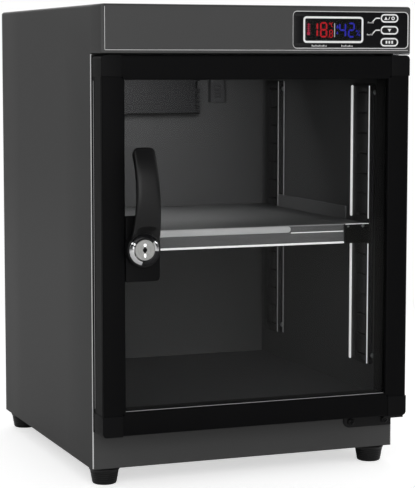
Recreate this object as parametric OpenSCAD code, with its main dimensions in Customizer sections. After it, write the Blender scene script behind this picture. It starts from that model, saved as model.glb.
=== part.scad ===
// Camera dry cabinet with a glazed door, a hood that carries the control panel,
// slotted uprights, one shelf and a cooling-plate dryer on the back wall.
// Every piece is drawn from the body's front plane (y = 0) and its underside (z = 0).
// stand() then sets the pieces on their feet, with the origin at the bottom centre.

/* [Body] */
// Width of the body
body_w = 300; // [280:1:340]
// Depth of the body behind its front plane
body_d = 304; // [280:1:360]
// Height of the body above its feet
body_h = 417; // [410:1:460]
// Thickness of the outer sheet
sheet = 1.2; // [0.8:0.1:1.5]
// Outer radius of the wrap's bends
bend_r = 3; // [2:0.5:5]
// How far the hood stands ahead of the front plane
hood_d = 30.3; // [29:0.1:36]
// Height of the hood's front
hood_h = 42.8; // [41:0.1:50]

/* [Feet] */
// Height of a foot
foot_h = 16; // [10:1:24]
// Diameter of a foot under the body
foot_top_d = 28; // [22:1:30]
// Diameter of a foot on the floor
foot_floor_d = 21.5; // [14:0.5:22]
// From the body's side and front or rear to a foot's centre
foot_inset = 16; // [15:1:30]
// Diameter of a foot screw
foot_screw_d = 4; // [3:0.5:5]
// Diameter of a foot screw's head and nut
foot_head_d = 8; // [7:0.5:10]
// Thickness of a foot screw's head and nut
foot_head_t = 3; // [2:0.5:4]

/* [Chamber] */
// Height of the chamber's floor above the body's underside
floor_z = 48; // [44:1:52]
// From the body's top to the chamber's ceiling
roof_gap = 59; // [56:1:64]
// From the body's outer side face to the chamber's wall
wall_inset = 10; // [8:0.5:11]
// From the chamber's back wall to the body's rear face
back_inset = 8; // [7:0.5:10]
// Thickness of the liner
liner_t = 1; // [0.6:0.1:1.2]
// Width of the face frame's side flanges
flange_w = 14.5; // [13:0.5:15]
// Depth of the flanges' rear edge behind the front plane
flange_lip = 3.5; // [2.5:0.1:5]

/* [Door] */
// Gap between the body's front plane and the back of the door frame
door_gap = 4.8; // [4:0.1:6]
// Height of the door's lower edge above the body's underside
door_z = 34.9; // [33:0.1:36]
// Gap between the door and the hood
door_top_gap = 1.5; // [1.4:0.1:2.5]
// Gap between the door's edge and the body's side face
door_side_gap = 0.1; // [0:0.1:1]
// Width of the door's border round the window
border_w = 21.8; // [21:0.1:24]
// Side length of a corner block
corner_w = 18.9; // [17.5:0.1:19]
// Radius of a corner block's outer corner
corner_r = 4; // [2:0.5:6]
// How far the corner blocks stand proud of the profiles
corner_proud = 0.6; // [0.3:0.1:1]
// Wall of the door's hollow profiles
profile_wall = 1.8; // [1.2:0.1:2]
// Thickness of the pane
glass_t = 4; // [3:0.5:5]
// Thickness of the profiles' lip ahead of the pane
glass_lip = 2.8; // [2:0.1:4]
// How far the pane reaches into the profiles
glass_hold = 2.6; // [2:0.1:2.8]
// Length of a corner block's spigot
spigot_l = 15; // [8:1:25]
// Width of the gasket's strip
gasket_w = 6; // [4:0.5:6.5]
// From the door's edge to the gasket
gasket_inset = 6.4; // [6.2:0.1:7.5]

/* [Hinge] */
// From the body's side face to the hinge axis
hinge_inset = 8; // [7:0.5:9]
// From the back of the door to the hinge axis
hinge_back = 12.2; // [11:0.1:13]
// Diameter of a hinge pin
pin_d = 5; // [4:0.5:6]
// Length of a hinge pin inside the door
pin_l = 12; // [8:1:15]
// Outer diameter of a hinge bush
bush_d = 8; // [7.5:0.5:9]
// Diameter of a bush's collar
bush_collar_d = 11; // [10:0.5:13]
// Thickness of the lower bracket
bracket_t = 2; // [1.5:0.1:2.4]
// Width of the lower bracket's face
bracket_w = 49.4; // [42:0.1:60]
// Height of the lower bracket's face
bracket_h = 14; // [12:0.1:16]
// Radius of the lower bracket's free corner
bracket_r = 6; // [3:0.5:8]
// Width of the lower bracket's shelf under the door
bracket_leg_w = 20; // [16:0.5:24]
// From the body's side face to the hinge brackets
bracket_inset = 1.6; // [1:0.1:2]
// Thickness of the upper hinge plate
hinge_plate_t = 1.1; // [0.8:0.1:1.2]
// Width of the upper hinge plate
hinge_plate_w = 16; // [14:0.5:24]
// Diameter of a bracket screw
bracket_screw_d = 4; // [3:0.5:4.5]
// Diameter of a bracket screw's head
bracket_head_d = 7; // [6:0.5:8]
// Height of a bracket screw's head
bracket_head_t = 2.2; // [1.5:0.1:3]

/* [Lock and handle] */
// Height of the lock's centre above the body's underside
lock_z = 202.6; // [180:0.1:230]
// From the window's edge to the lock's centre
lock_inset = 14; // [13:0.1:15]
// Width of the lock plate
lock_plate_w = 32; // [30:0.5:36]
// Height of the lock plate
lock_plate_h = 58.6; // [54:0.1:70]
// Radius of the lock plate's free corners
lock_plate_r = 4; // [2:0.5:8]
// Diameter of the threaded neck through the pane
neck_d = 20; // [16:0.5:22]
// Length of the neck behind the pane
neck_l = 8; // [7:0.5:12]
// Width across the lock nut's flats
nut_w = 26; // [24:1:27]
// Thickness of the lock nut
nut_t = 5; // [3:0.5:6]
// Thickness of the washer behind the pane
washer_t = 0.8; // [0.4:0.1:1.5]
// Diameter of the handle's boss
boss_d = 31; // [30:0.5:32]
// Depth of the handle's boss
boss_t = 9.4; // [8.5:0.1:12]
// Reach of the lever ahead of the body's front plane
handle_reach = 54; // [52:0.5:60]
// Height of the lever's tip above the lock's centre
lever_l = 90.4; // [80:0.1:110]
// Thickness of the lever
lever_t = 5; // [4:0.1:5.5]
// Width of the lever where it leaves the boss
lever_root_w = 26; // [23:0.5:28]
// Width of the lever at its tip
lever_tip_w = 17; // [14:0.5:20]
// Radius of the lever's tip corners
lever_tip_r = 4; // [2:0.5:6]
// Diameter of the lock barrel's flange
ring_d = 28; // [26:0.5:28.5]
// Thickness of the lock barrel's flange
ring_t = 1.5; // [1:0.1:2.5]
// Diameter of the lock barrel
barrel_d = 24; // [22:0.5:25]
// Depth of the lock barrel inside the boss
barrel_l = 6.3; // [5:0.1:6.4]
// Diameter of the key plug
plug_d = 18.5; // [16:0.5:19]
// Length of the key plug
plug_l = 6; // [4:0.1:6]
// How far the key plug stands proud of the barrel
plug_proud = 0.5; // [0:0.1:1]
// Width of the keyway
keyway_w = 1.8; // [1.4:0.1:2.4]
// Height of the keyway
keyway_h = 8; // [6:0.5:9]
// Diameter of the spindle
spindle_d = 12; // [9:0.5:13]
// Diameter of the spindle's nose in the cam
nose_d = 8; // [6:0.5:8]
// Length of the latch cam from the lock's centre
cam_l = 25.3; // [24.8:0.1:25.5]
// Width of the latch cam
cam_w = 12; // [10:0.5:14]
// Thickness of the latch cam
cam_t = 2.5; // [2:0.1:3.5]
// Diameter of the cam screw
cam_screw_d = 4; // [3:0.5:5]
// Diameter of the cam screw's head
cam_head_d = 10; // [9:0.5:12]
// Height of the cam screw's head
cam_head_t = 3; // [2:0.1:4]
// Height of the strike
strike_h = 26; // [18:1:40]

/* [Control panel] */
// Width of the recess in the hood
panel_w = 115.2; // [113:0.1:118]
// Height of the recess in the hood
panel_h = 32.4; // [32:0.1:33]
// Radius of the recess's corners
panel_r = 3.5; // [2:0.5:5]
// From the body's side face to the recess
panel_side = 2.9; // [2.6:0.1:6]
// From the body's top to the recess
panel_top = 5.3; // [4:0.1:6]
// Depth of the recess
panel_recess = 0.8; // [0.4:0.1:1]
// Thickness of the bezel
bezel_t = 2.5; // [2:0.1:3]
// Width of the bezel's hidden rim
bezel_rim = 1; // [0.6:0.1:1.2]
// From the display opening to the recess's right edge
display_right = 47; // [43:0.1:53]
// Height of the display opening
display_h = 20.1; // [18:0.1:22]
// From the recess's left edge to the display opening
display_left = 11.8; // [10:0.1:16]
// From the recess's top to the display opening
display_top = 6; // [5:0.1:7]
// Radius of the display opening's corners
display_r = 1.6; // [1:0.1:3]
// Thickness of the display window's rim
window_rim_t = 1; // [0.6:0.1:1.5]
// Distance between the bezel and the control board
board_stand = 7.4; // [6.5:0.1:9]
// Thickness of the control board
board_t = 1.6; // [1:0.1:2]
// Diameter of the bezel's posts
post_d = 4.6; // [4:0.1:5]
// From the recess's edges to a post's centre
post_inset = 2.6; // [2.4:0.1:2.7]
// Diameter of a board screw
board_screw_d = 2; // [1.6:0.1:2.4]
// Diameter of a board screw's head
board_head_d = 4.4; // [3.6:0.1:5]
// Height of a board screw's head
board_head_t = 1.8; // [1.2:0.1:2.5]

/* [Keys] */
// Width of a key
key_w = 18.8; // [16:0.1:20]
// Height of a key
key_h = 8.5; // [7.5:0.1:8.8]
// Distance between key centres
key_pitch = 10.9; // [10.8:0.1:11.2]
// From the recess's right edge to the key centres
key_right = 18.8; // [17:0.1:20]
// How far a key stands ahead of the bezel
key_proud = 0.6; // [0.5:0.1:1]
// Travel of a key
key_travel = 0.5; // [0.3:0.1:0.5]
// Width of a key's hidden rim
key_rim = 0.8; // [0.5:0.1:0.9]
// Thickness of a key's hidden rim
key_rim_t = 1; // [0.6:0.1:1.5]
// Diameter of a key's stem
stem_d = 4; // [3:0.5:5]
// Side length of a switch
switch_w = 6; // [5:0.5:8]
// Height of a switch's case
switch_t = 2.5; // [2:0.1:3]
// Diameter of a switch's plunger
plunger_d = 3.2; // [2:0.1:4]
// Height of a switch's plunger
plunger_t = 1; // [0.6:0.1:1.2]

/* [Uprights and shelf] */
// Height of the uprights' lower end above the body's underside
upright_z = 76; // [60:1:80]
// From the chamber's ceiling to the uprights' upper end
upright_top_gap = 12; // [8:1:40]
// Width of an upright's slotted web
upright_w = 38; // [34:1:44]
// Thickness of an upright
upright_t = 1; // [0.8:0.1:1.2]
// How far the web stands off the wall
upright_stand = 5; // [4:0.5:6]
// Width of an upright's feet
upright_foot_w = 7; // [6:0.5:9]
// From the front plane to the front upright's web
upright_front_y = 23; // [21:0.5:30]
// From the back wall to the rear upright's web
upright_rear_gap = 17; // [12:0.5:24]
// Length of a slot
slot_l = 20; // [16:0.5:22]
// Height of a slot
slot_h = 2; // [1.6:0.1:3]
// Distance between slots
slot_pitch = 19.45; // [16:0.05:24]
// From the web's end to the first slot, and from its edge to each slot
slot_margin = 8.4; // [7:0.1:10]
// From the web's front edge to a slot
slot_side = 4; // [3:0.5:6]
// Number of slots up to the one that carries the shelf, counted from below
shelf_slot_count = 7; // [5:1:9]
// Height of the shelf's top above that slot's centre
shelf_rise = 11.8; // [10:0.1:12]
// Thickness of the shelf's sheet
shelf_t = 1.2; // [0.8:0.1:1.5]
// Height of the shelf's folded front
apron_h = 18.5; // [17:0.1:24]
// Depth of the lip under the folded front
apron_lip = 8; // [5:0.5:12]
// Height of the shelf's side walls above its top
upstand_h = 13; // [8:0.5:20]
// Width of a shelf bracket's face
shelf_bracket_w = 26.5; // [20:0.5:32]
// Thickness of a shelf bracket
shelf_bracket_t = 1.4; // [1:0.1:1.5]
// Height of the edge strip
strip_h = 6.5; // [5:0.1:8]
// Thickness of the edge strip
strip_t = 1.5; // [1:0.1:2]
// From the left bracket to the strip's right end
strip_l = 161; // [120:1:170]
// Diameter of a rivet's head
rivet_d = 5; // [4:0.5:5.5]
// Height of a rivet's head
rivet_t = 1.2; // [0.8:0.1:1.6]

/* [Dryer] */
// Width of the dryer cover
dryer_w = 116; // [100:1:130]
// Height of the dryer cover
dryer_h = 45; // [44:0.5:50]
// Depth of the dryer cover
dryer_d = 22; // [20:0.5:30]
// Wall of the dryer cover and of the rear vent cover
cover_wall = 1.5; // [1:0.1:2]
// Gap between the dryer cover and the ceiling
dryer_top_gap = 1; // [0.5:0.1:2]
// Width of a vent slot
vent_w = 3; // [2:0.5:4]
// Width of the cold sink
cold_w = 80; // [60:1:90]
// Height of the cold and hot sinks
sink_h = 36; // [32:1:38]
// Thickness of a sink's base
sink_base = 3; // [2:0.5:3.5]
// Depth of the cold sink's fins
cold_fin = 10; // [8:0.5:10]
// Thickness of a fin
fin_t = 1.2; // [0.8:0.1:2]
// Distance between fins
fin_pitch = 5.2; // [4:0.1:8]
// Side length of the cooling module and its spacer
module_w = 30; // [26:1:31]
// Thickness of the cooling module
module_t = 3.8; // [3:0.1:4.5]
// Width of the hot sink
hot_w = 110; // [80:1:120]
// Depth of the hot sink's fins
hot_fin = 11; // [8:0.5:11]
// Half height of the opening behind the dryer
port_half_h = 20; // [19.8:0.1:20.5]
// Thickness of the wick
wick_t = 1.4; // [1:0.1:1.5]
// Width of the wick
wick_w = 16; // [10:1:26]
// Width of the rear vent cover
vent_cover_w = 140; // [130:1:160]
// Height of the rear vent cover
vent_cover_h = 88; // [80:1:92]
// Depth of the rear vent cover
vent_cover_d = 18; // [17:0.5:24]
// Diameter of a vent cover screw
cover_screw_d = 3; // [2.5:0.1:4]
// Diameter of a vent cover screw's head
cover_head_d = 6; // [5:0.5:7]
// Height of a vent cover screw's head
cover_head_t = 2; // [1.5:0.1:3]

/* [Power and sensing] */
// From the body's side face to the power inlet
inlet_inset = 40; // [34:1:60]
// Height of the power inlet above the body's underside
inlet_z = 25; // [16:1:32]
// Diameter of the power inlet's flange
inlet_flange_d = 14; // [13:0.5:18]
// Thickness of the power inlet's flange
inlet_flange_t = 2; // [1:0.5:3]
// Diameter of the power inlet's body
inlet_d = 11; // [10:0.5:12]
// Length of the power inlet's body
inlet_l = 14; // [12:0.5:16]
// Bore of the power inlet
inlet_bore = 5.5; // [5:0.1:6.5]
// Diameter of the power inlet's centre pin
inlet_pin = 2.1; // [1.6:0.1:2.5]
// Depth of the power inlet's bore
inlet_depth = 9; // [8:0.5:10]
// Width of the humidity sensor
sensor_w = 16; // [12:1:20]
// Height of the humidity sensor
sensor_h = 24; // [20:1:30]
// Depth of the humidity sensor
sensor_d = 8; // [6:0.5:12]
// Diameter of an inner lead
lead_d = 3; // [2:0.5:3.5]
// Distance between neighbouring leads
lead_pitch = 20; // [14:1:22]
// Width of a cable clip along the leads
clip_w = 8; // [5:1:12]
// Height of a cable clip
clip_h = 5; // [4.5:0.1:7]

/* [Fits] */
// Clearance round fixed pieces and in running gaps
fit = 0.3; // [0.2:0.05:0.4]
// Radial clearance of pins, shafts and screws in their holes
run = 0.1; // [0.05:0.01:0.15]

/* [Hidden] */
$fn = 48;
// Overrun of every cut past the face that it opens
over = sheet;
half_w = body_w / 2;
hood_z = body_h - hood_h;
face_y = (handle_reach - body_d - vent_cover_d - cover_head_t) / 2;
chamber_half = half_w - wall_inset;
chamber_back = body_d - back_inset;
ceiling_z = body_h - roof_gap;
mouth_half = half_w - flange_w;
door_half = half_w - door_side_gap;
door_top = hood_z - door_top_gap;
window_half = door_half - border_w;
profile_y = -hood_d + corner_proud;
glass_y = profile_y + glass_lip + run;
glass_back = glass_y + glass_t;
glass_half = window_half + glass_hold;
hinge_x = half_w - hinge_inset;
hinge_y = -door_gap - hinge_back;
bracket_z = door_z - fit;
lock_x = -window_half + lock_inset;
boss_back = -hood_d - fit;
boss_front = boss_back - boss_t;
spindle_front = boss_front + barrel_l + run;
cam_y = flange_lip + fit + run;
panel_x = half_w - panel_side - panel_w / 2;
panel_z = body_h - panel_top - panel_h / 2;
bezel_y = -hood_d + panel_recess;
bezel_back = bezel_y + bezel_t;
board_y = bezel_back + board_stand;
display_w = panel_w - display_left - display_right;
display_x = panel_x - panel_w / 2 + display_left + display_w / 2;
display_z = panel_z + panel_h / 2 - display_top - display_h / 2;
key_x = panel_x + panel_w / 2 - key_right;
upright_h = ceiling_z - upright_top_gap - upright_z;
slot_count = floor((upright_h - 2 * slot_margin) / slot_pitch) + 1;
upright_rear_y = chamber_back - upright_rear_gap - upright_w;
web_x = chamber_half - upright_stand;
shelf_z = upright_z + slot_margin + (shelf_slot_count - 1) * slot_pitch + shelf_rise;
shelf_half = web_x - fit - shelf_bracket_t - run;
shelf_front = upright_front_y - slot_side / 4;
shelf_rear = upright_rear_y + upright_w;
dryer_z = ceiling_z - dryer_top_gap - dryer_h;
stack_z = dryer_z + dryer_h / 2;
spacer_y = chamber_back - cover_wall - sink_base;
module_y = body_d + fit - module_t;
vent_half_h = vent_cover_h / 2;
lead_z = ceiling_z + liner_t + clip_h / 2;
lead_gap_y = (chamber_back + liner_t + body_d - sheet) / 2;
// From the dryer's centre to the lead above the foam
foam_rim = module_w / 2 + 2 * lead_d;
// Share of the module's width at which its lead enters the foam
foam_lead_share = 0.8;
// Share of the lever's height at which its neck starts to narrow
root_share = 0.1;

module stand() {
    translate([0, face_y, foot_h])
        children();
}

// Box between two corners
module slab(x0, x1, y0, y1, z0, z1) {
    translate([x0, y0, z0])
        cube([x1 - x0, y1 - y0, z1 - z0]);
}

// Outline in X and Z, given depth from y0 to y1
module plate_y(y0, y1) {
    translate([0, y1, 0])
        rotate([90, 0, 0])
            linear_extrude(y1 - y0)
                children();
}

// Outline in Y and Z, given width from x0 to x1
module plate_x(x0, x1) {
    translate([x0, 0, 0])
        rotate([90, 0, 90])
            linear_extrude(x1 - x0)
                children();
}

// Round bar along Y
module bar_y(x, z, y0, y1, r) {
    translate([x, y0, z])
        rotate([-90, 0, 0])
            cylinder(h = y1 - y0, r = r);
}

// Round bar along Z
module bar_z(x, y, z0, z1, r) {
    translate([x, y, z0])
        cylinder(h = z1 - z0, r = r);
}

module both_sides() {
    children();
    mirror([1, 0, 0])
        children();
}

// Rectangle with round corners, centred
module round_rect(w, h, r) {
    square([w, h - 2 * r], center = true);
    square([w - 2 * r, h], center = true);
    for (sx = [-1, 1], sz = [-1, 1])
        translate([sx * (w / 2 - r), sz * (h / 2 - r)])
            circle(r);
}

// Bar with half-round ends, centred
module stadium(w, h) {
    square([w - h, h], center = true);
    for (sx = [-1, 1])
        translate([sx * (w - h) / 2, 0])
            circle(h / 2);
}

// Body

module wrap_outline(half, height, r) {
    translate([-half, 0])
        square([2 * half, height - r]);
    translate([-half + r, 0])
        square([2 * (half - r), height]);
    for (sx = [-1, 1])
        translate([sx * (half - r), height - r])
            circle(r);
}

module outer_wrap() {
    color("dimgray")
        difference() {
            plate_y(-hood_d, body_d)
                difference() {
                    wrap_outline(half_w, body_h, bend_r);
                    translate([0, -over])
                        wrap_outline(half_w - sheet, body_h - sheet + over, bend_r - sheet);
                }
            slab(-body_w, body_w, -hood_d - over, sheet, -over, hood_z);
        }
}

module face_frame() {
    color("dimgray") {
        difference() {
            slab(-half_w, half_w, 0, sheet, 0, hood_z);
            slab(-mouth_half, mouth_half, -over, sheet + over, floor_z, ceiling_z);
            for (x = bracket_screw_xs())
                bar_y(x, bracket_screw_z(), -over, sheet + over, bracket_screw_d / 2 + run);
        }
        both_sides()
            slab(mouth_half, mouth_half + sheet, sheet, flange_lip, floor_z, ceiling_z);
    }
}

// Hood front with its folded underside
module hood_front() {
    color("dimgray") {
        difference() {
            plate_y(-hood_d, -hood_d + sheet)
                intersection() {
                    wrap_outline(half_w - sheet, body_h - sheet, bend_r - sheet);
                    translate([-half_w, hood_z])
                        square([body_w, hood_h]);
                }
            translate([panel_x, 0, panel_z])
                plate_y(-hood_d - over, -hood_d + sheet + over)
                    round_rect(panel_w, panel_h, panel_r);
        }
        slab(-half_w + sheet, half_w - sheet, -hood_d + sheet, sheet, hood_z, hood_z + sheet);
    }
}

module foot_places() {
    for (sx = [-1, 1], y = [foot_inset, body_d - foot_inset])
        translate([sx * (half_w - foot_inset), y, 0])
            children();
}

module bottom_panel() {
    color("dimgray")
        difference() {
            slab(-half_w + sheet, half_w - sheet, sheet, body_d - sheet, 0, sheet);
            foot_places()
                bar_z(0, 0, -over, sheet + over, foot_screw_d / 2 + run);
        }
}

module back_panel() {
    color("dimgray")
        difference() {
            plate_y(body_d - sheet, body_d)
                wrap_outline(half_w - sheet, body_h - sheet, bend_r - sheet);
            slab(-wick_w, wick_w, body_d - sheet - over, body_d + over,
                stack_z - port_half_h, stack_z + port_half_h);
            vent_screw_places()
                bar_y(0, 0, body_d - sheet - over, body_d + over, cover_screw_d / 2 + run);
            bar_y(half_w - inlet_inset, inlet_z, body_d - sheet - over, body_d + over,
                inlet_d / 2 + run);
        }
}

// Left, back and right walls of the chamber, folded from one sheet
module liner_wrap() {
    color("#2b2c2e")
        difference() {
            slab(-chamber_half - liner_t, chamber_half + liner_t, sheet, chamber_back + liner_t,
                floor_z - liner_t, ceiling_z + liner_t);
            slab(-chamber_half, chamber_half, 0, chamber_back,
                floor_z - liner_t - over, ceiling_z + liner_t + over);
            slab(-wick_w, wick_w, chamber_back - over, chamber_back + liner_t + over,
                stack_z - port_half_h, stack_z + port_half_h);
            bar_y(sensor_x(), stack_z, chamber_back - over, chamber_back + liner_t + over,
                lead_d / 2 + run);
        }
}

// Level plate of the liner from height z, notched round the flanges' rear edges
module liner_plate(z) {
    difference() {
        slab(-chamber_half, chamber_half, sheet, chamber_back, z, z + liner_t);
        both_sides()
            slab(mouth_half - fit, half_w, sheet - over, flange_lip + fit, z - over, z + liner_t + over);
    }
}

module liner_floor() {
    color("#2b2c2e")
        liner_plate(floor_z - liner_t);
}

module liner_ceiling() {
    color("#2b2c2e")
        liner_plate(ceiling_z);
}

// Tapered feet, each with a pocket for its screw head
module rubber_feet() {
    color("#1c1c1c")
        foot_places()
            difference() {
                translate([0, 0, -foot_h])
                    cylinder(h = foot_h, r1 = foot_floor_d / 2, r2 = foot_top_d / 2);
                bar_z(0, 0, -foot_h - over, -foot_h / 2, foot_head_d / 2 + run);
                bar_z(0, 0, -foot_h, over, foot_screw_d / 2 + run);
            }
}

module foot_screws() {
    color("silver")
        foot_places() {
            bar_z(0, 0, -foot_h / 2 - foot_head_t, -foot_h / 2, foot_head_d / 2);
            bar_z(0, 0, -foot_h / 2, sheet + foot_head_t, foot_screw_d / 2);
            bar_z(0, 0, sheet, sheet + foot_head_t, foot_head_d / 2);
        }
}

// Control panel

module post_places() {
    for (sx = [-1, 1], sz = [-1, 1])
        translate([panel_x + sx * (panel_w / 2 - post_inset), 0,
            panel_z + sz * (panel_h / 2 - post_inset)])
            children();
}

module key_places() {
    for (i = [-1:1])
        translate([key_x, 0, panel_z + i * key_pitch])
            children();
}

// Bezel in the hood's recess, with posts that carry the board
module control_bezel() {
    color("#121214")
        difference() {
            union() {
                translate([panel_x, 0, panel_z]) {
                    plate_y(bezel_y, bezel_back)
                        round_rect(panel_w - 2 * run, panel_h - 2 * run, panel_r - run);
                    plate_y(-hood_d + sheet, bezel_back)
                        round_rect(panel_w + 2 * bezel_rim, panel_h + 2 * bezel_rim, panel_r);
                }
                post_places()
                    bar_y(0, 0, bezel_back, board_y, post_d / 2);
            }
            translate([display_x, 0, display_z])
                plate_y(bezel_y - over, bezel_back + over)
                    round_rect(display_w, display_h, display_r);
            key_places()
                plate_y(bezel_y - over, bezel_back + over)
                    stadium(key_w + 2 * run, key_h + 2 * run);
            post_places()
                bar_y(0, 0, bezel_back + run, board_y + over, board_screw_d / 2 + run);
        }
}

module display_window() {
    color("#200a0a")
        translate([display_x, 0, display_z]) {
            plate_y(bezel_y + run, bezel_back)
                round_rect(display_w - 2 * run, display_h - 2 * run, display_r - run);
            plate_y(bezel_back, bezel_back + window_rim_t)
                round_rect(display_w + 2 * window_rim_t, display_h + 2 * window_rim_t, display_r);
        }
}

module display_module() {
    color("#b8b4ac")
        translate([display_x, 0, display_z])
            plate_y(bezel_back + window_rim_t + run, board_y)
                square([display_w, display_h - window_rim_t], center = true);
}

module control_board() {
    color("#1f5a35")
        difference() {
            translate([panel_x, 0, panel_z])
                plate_y(board_y, board_y + board_t)
                    square([panel_w, panel_h], center = true);
            post_places()
                bar_y(0, 0, board_y - over, board_y + board_t + over, board_screw_d / 2 + run);
        }
}

module key_switches() {
    color("#26262a")
        key_places() {
            plate_y(board_y - switch_t, board_y)
                square(switch_w, center = true);
            bar_y(0, 0, board_y - switch_t - plunger_t, board_y - switch_t, plunger_d / 2);
        }
}

module board_screws() {
    color("silver")
        post_places() {
            bar_y(0, 0, board_y + board_t, board_y + board_t + board_head_t, board_head_d / 2);
            bar_y(0, 0, bezel_back + board_stand / 4, board_y + board_t, board_screw_d / 2);
        }
}

// Oval key with a rim behind the bezel and a stem over its switch
module key(row) {
    rim_y = bezel_back + run;
    stem_y = board_y - switch_t - plunger_t - key_travel - run;
    color("#1a1a1c")
        translate([key_x, 0, panel_z + row * key_pitch]) {
            plate_y(bezel_y - key_proud, rim_y)
                stadium(key_w, key_h);
            plate_y(rim_y, rim_y + key_rim_t)
                stadium(key_w + 2 * key_rim, key_h + 2 * key_rim);
            bar_y(0, 0, rim_y + key_rim_t, stem_y, stem_d / 2);
        }
}

module key_up() {
    key(1);
}

module key_down() {
    key(0);
}

module key_set() {
    key(-1);
}

// Uprights and shelf

// Hat section on the right wall, with its slots, from the given y
module upright(y0) {
    y1 = y0 + upright_w;
    z1 = upright_z + upright_h;
    difference() {
        union() {
            slab(web_x, web_x + upright_t, y0, y1, upright_z, z1);
            for (y = [y0, y1 - upright_t])
                slab(web_x, chamber_half, y, y + upright_t, upright_z, z1);
            for (y = [y0 - upright_foot_w, y1 - upright_t])
                slab(chamber_half - upright_t, chamber_half, y, y + upright_foot_w + upright_t,
                    upright_z, z1);
        }
        for (i = [0:slot_count - 1])
            translate([0, 0, upright_z + slot_margin + i * slot_pitch])
                slab(web_x - over, web_x + upright_t + over, y0 + slot_side,
                    y0 + slot_side + slot_l, -slot_h / 2, slot_h / 2);
    }
}

module uprights_right() {
    color("#3c3d40")
        for (y = [upright_front_y, upright_rear_y])
            upright(y);
}

module uprights_left() {
    mirror([1, 0, 0])
        uprights_right();
}

module upright_rivets() {
    foot_mid = (upright_foot_w - upright_t) / 2 + upright_t;
    color("silver")
        both_sides()
            for (y = [upright_front_y, upright_rear_y],
                z = [upright_z + slot_margin, upright_z + upright_h - slot_margin])
                for (dy = [-foot_mid + upright_t, upright_w + foot_mid - upright_t])
                    translate([chamber_half - upright_t - rivet_t, y + dy, z])
                        rotate([0, 90, 0])
                            cylinder(h = rivet_t, r1 = rivet_d / 4, r2 = rivet_d / 2);
}

// Tray with a folded front and rear, a lip under each and low side walls
module shelf_tray() {
    wall_front = upright_front_y + upright_w + upright_foot_w;
    wall_rear = upright_rear_y - upright_foot_w;
    color("#6f7174") {
        slab(-shelf_half, shelf_half, shelf_front, shelf_rear, shelf_z - shelf_t, shelf_z);
        for (y = [shelf_front, shelf_rear - shelf_t])
            slab(-shelf_half, shelf_half, y, y + shelf_t, shelf_z - apron_h, shelf_z);
        for (y = [shelf_front, shelf_rear - apron_lip])
            slab(-shelf_half, shelf_half, y, y + apron_lip,
                shelf_z - apron_h, shelf_z - apron_h + shelf_t);
        both_sides()
            slab(shelf_half - shelf_t, shelf_half, wall_front, wall_rear,
                shelf_z - shelf_t, shelf_z + upstand_h);
    }
}

module shelf_edge_strip() {
    strip_x = -web_x + shelf_bracket_w + fit;
    color("#c9cbcc")
        translate([strip_x, 0, 0])
            plate_y(shelf_front - strip_t, shelf_front) {
                translate([0, shelf_z - strip_h])
                    square([strip_l - strip_h / 2, strip_h]);
                translate([strip_l - strip_h / 2, shelf_z - strip_h / 2])
                    circle(strip_h / 2);
            }
}

// Corner bracket: a cheek along the upright and, at the front, a face over the apron's end
module shelf_bracket(y0, cheek_y, with_face) {
    cheek_x = shelf_half + run;
    bracket_low = shelf_z - apron_h;
    slab(cheek_x, cheek_x + shelf_bracket_t, y0, cheek_y, bracket_low, shelf_z);
    if (with_face)
        slab(web_x - shelf_bracket_w, cheek_x + shelf_bracket_t, y0 - shelf_bracket_t, y0,
            bracket_low, shelf_z);
}

// Brackets at the shelf's four corners, each with a hook through its upright's slot
module shelf_brackets() {
    hook_z = shelf_z - shelf_rise;
    hook_x = shelf_half + run + shelf_bracket_t;
    color("#151515")
        both_sides()
            for (front = [true, false]) {
                web_y = front ? upright_front_y : upright_rear_y;
                face_at = front ? shelf_front : web_y;
                shelf_bracket(face_at, web_y + upright_w - slot_side, front);
                slab(hook_x, web_x + upright_t + slot_h, web_y + slot_side + fit,
                    web_y + slot_side + slot_l - fit, hook_z - slot_h / 2 + run,
                    hook_z + slot_h / 2 - run);
                slab(web_x + upright_t + run, web_x + upright_t + slot_h, web_y + slot_side + fit,
                    web_y + slot_side + slot_l - fit, hook_z - slot_h * 2,
                    hook_z + slot_h / 2 - run);
            }
}

// Hinges

function bracket_screw_xs() = [
    half_w - bracket_inset - bracket_w + bracket_head_d,
    half_w - bracket_inset - bracket_head_d
];
function bracket_screw_z() = bracket_z - bracket_h + bracket_r - bracket_t / 4;

// Wear block riveted between the left flange and the liner, where the cam bears
module strike_plate() {
    color("silver")
        slab(-chamber_half + run, -mouth_half - sheet - run, sheet, flange_lip,
            lock_z - strike_h / 2, lock_z + strike_h / 2);
}

module hinge_plate_top() {
    x1 = half_w - bracket_inset;
    color("#3a3a3c")
        difference() {
            slab(x1 - hinge_plate_w, x1, hinge_y - pin_d * 2, -fit, hood_z - hinge_plate_t, hood_z);
            bar_z(hinge_x, hinge_y, hood_z - hinge_plate_t - over, hood_z + over, pin_d / 2 + run / 2);
        }
}

// Angle bracket: a face screwed to the body and a leg under the door
module hinge_bracket_bottom() {
    x1 = half_w - bracket_inset;
    x0 = x1 - bracket_w;
    z0 = bracket_z - bracket_h;
    color("#1b1b1c")
        difference() {
            union() {
                plate_y(-bracket_t, 0) {
                    translate([x0 + bracket_r, z0])
                        square([bracket_w - bracket_r, bracket_h]);
                    translate([x0, z0 + bracket_r])
                        square([bracket_w, bracket_h - bracket_r]);
                    translate([x0 + bracket_r, z0 + bracket_r])
                        circle(bracket_r);
                }
                slab(x1 - bracket_leg_w, x1, hinge_y - pin_d * 2, -bracket_t,
                    bracket_z - bracket_t, bracket_z);
            }
            for (x = bracket_screw_xs())
                bar_y(x, bracket_screw_z(), -bracket_t - over, over, bracket_screw_d / 2 + run);
            bar_z(hinge_x, hinge_y, bracket_z - bracket_t - over, bracket_z + over,
                pin_d / 2 + run / 2);
        }
}

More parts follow.
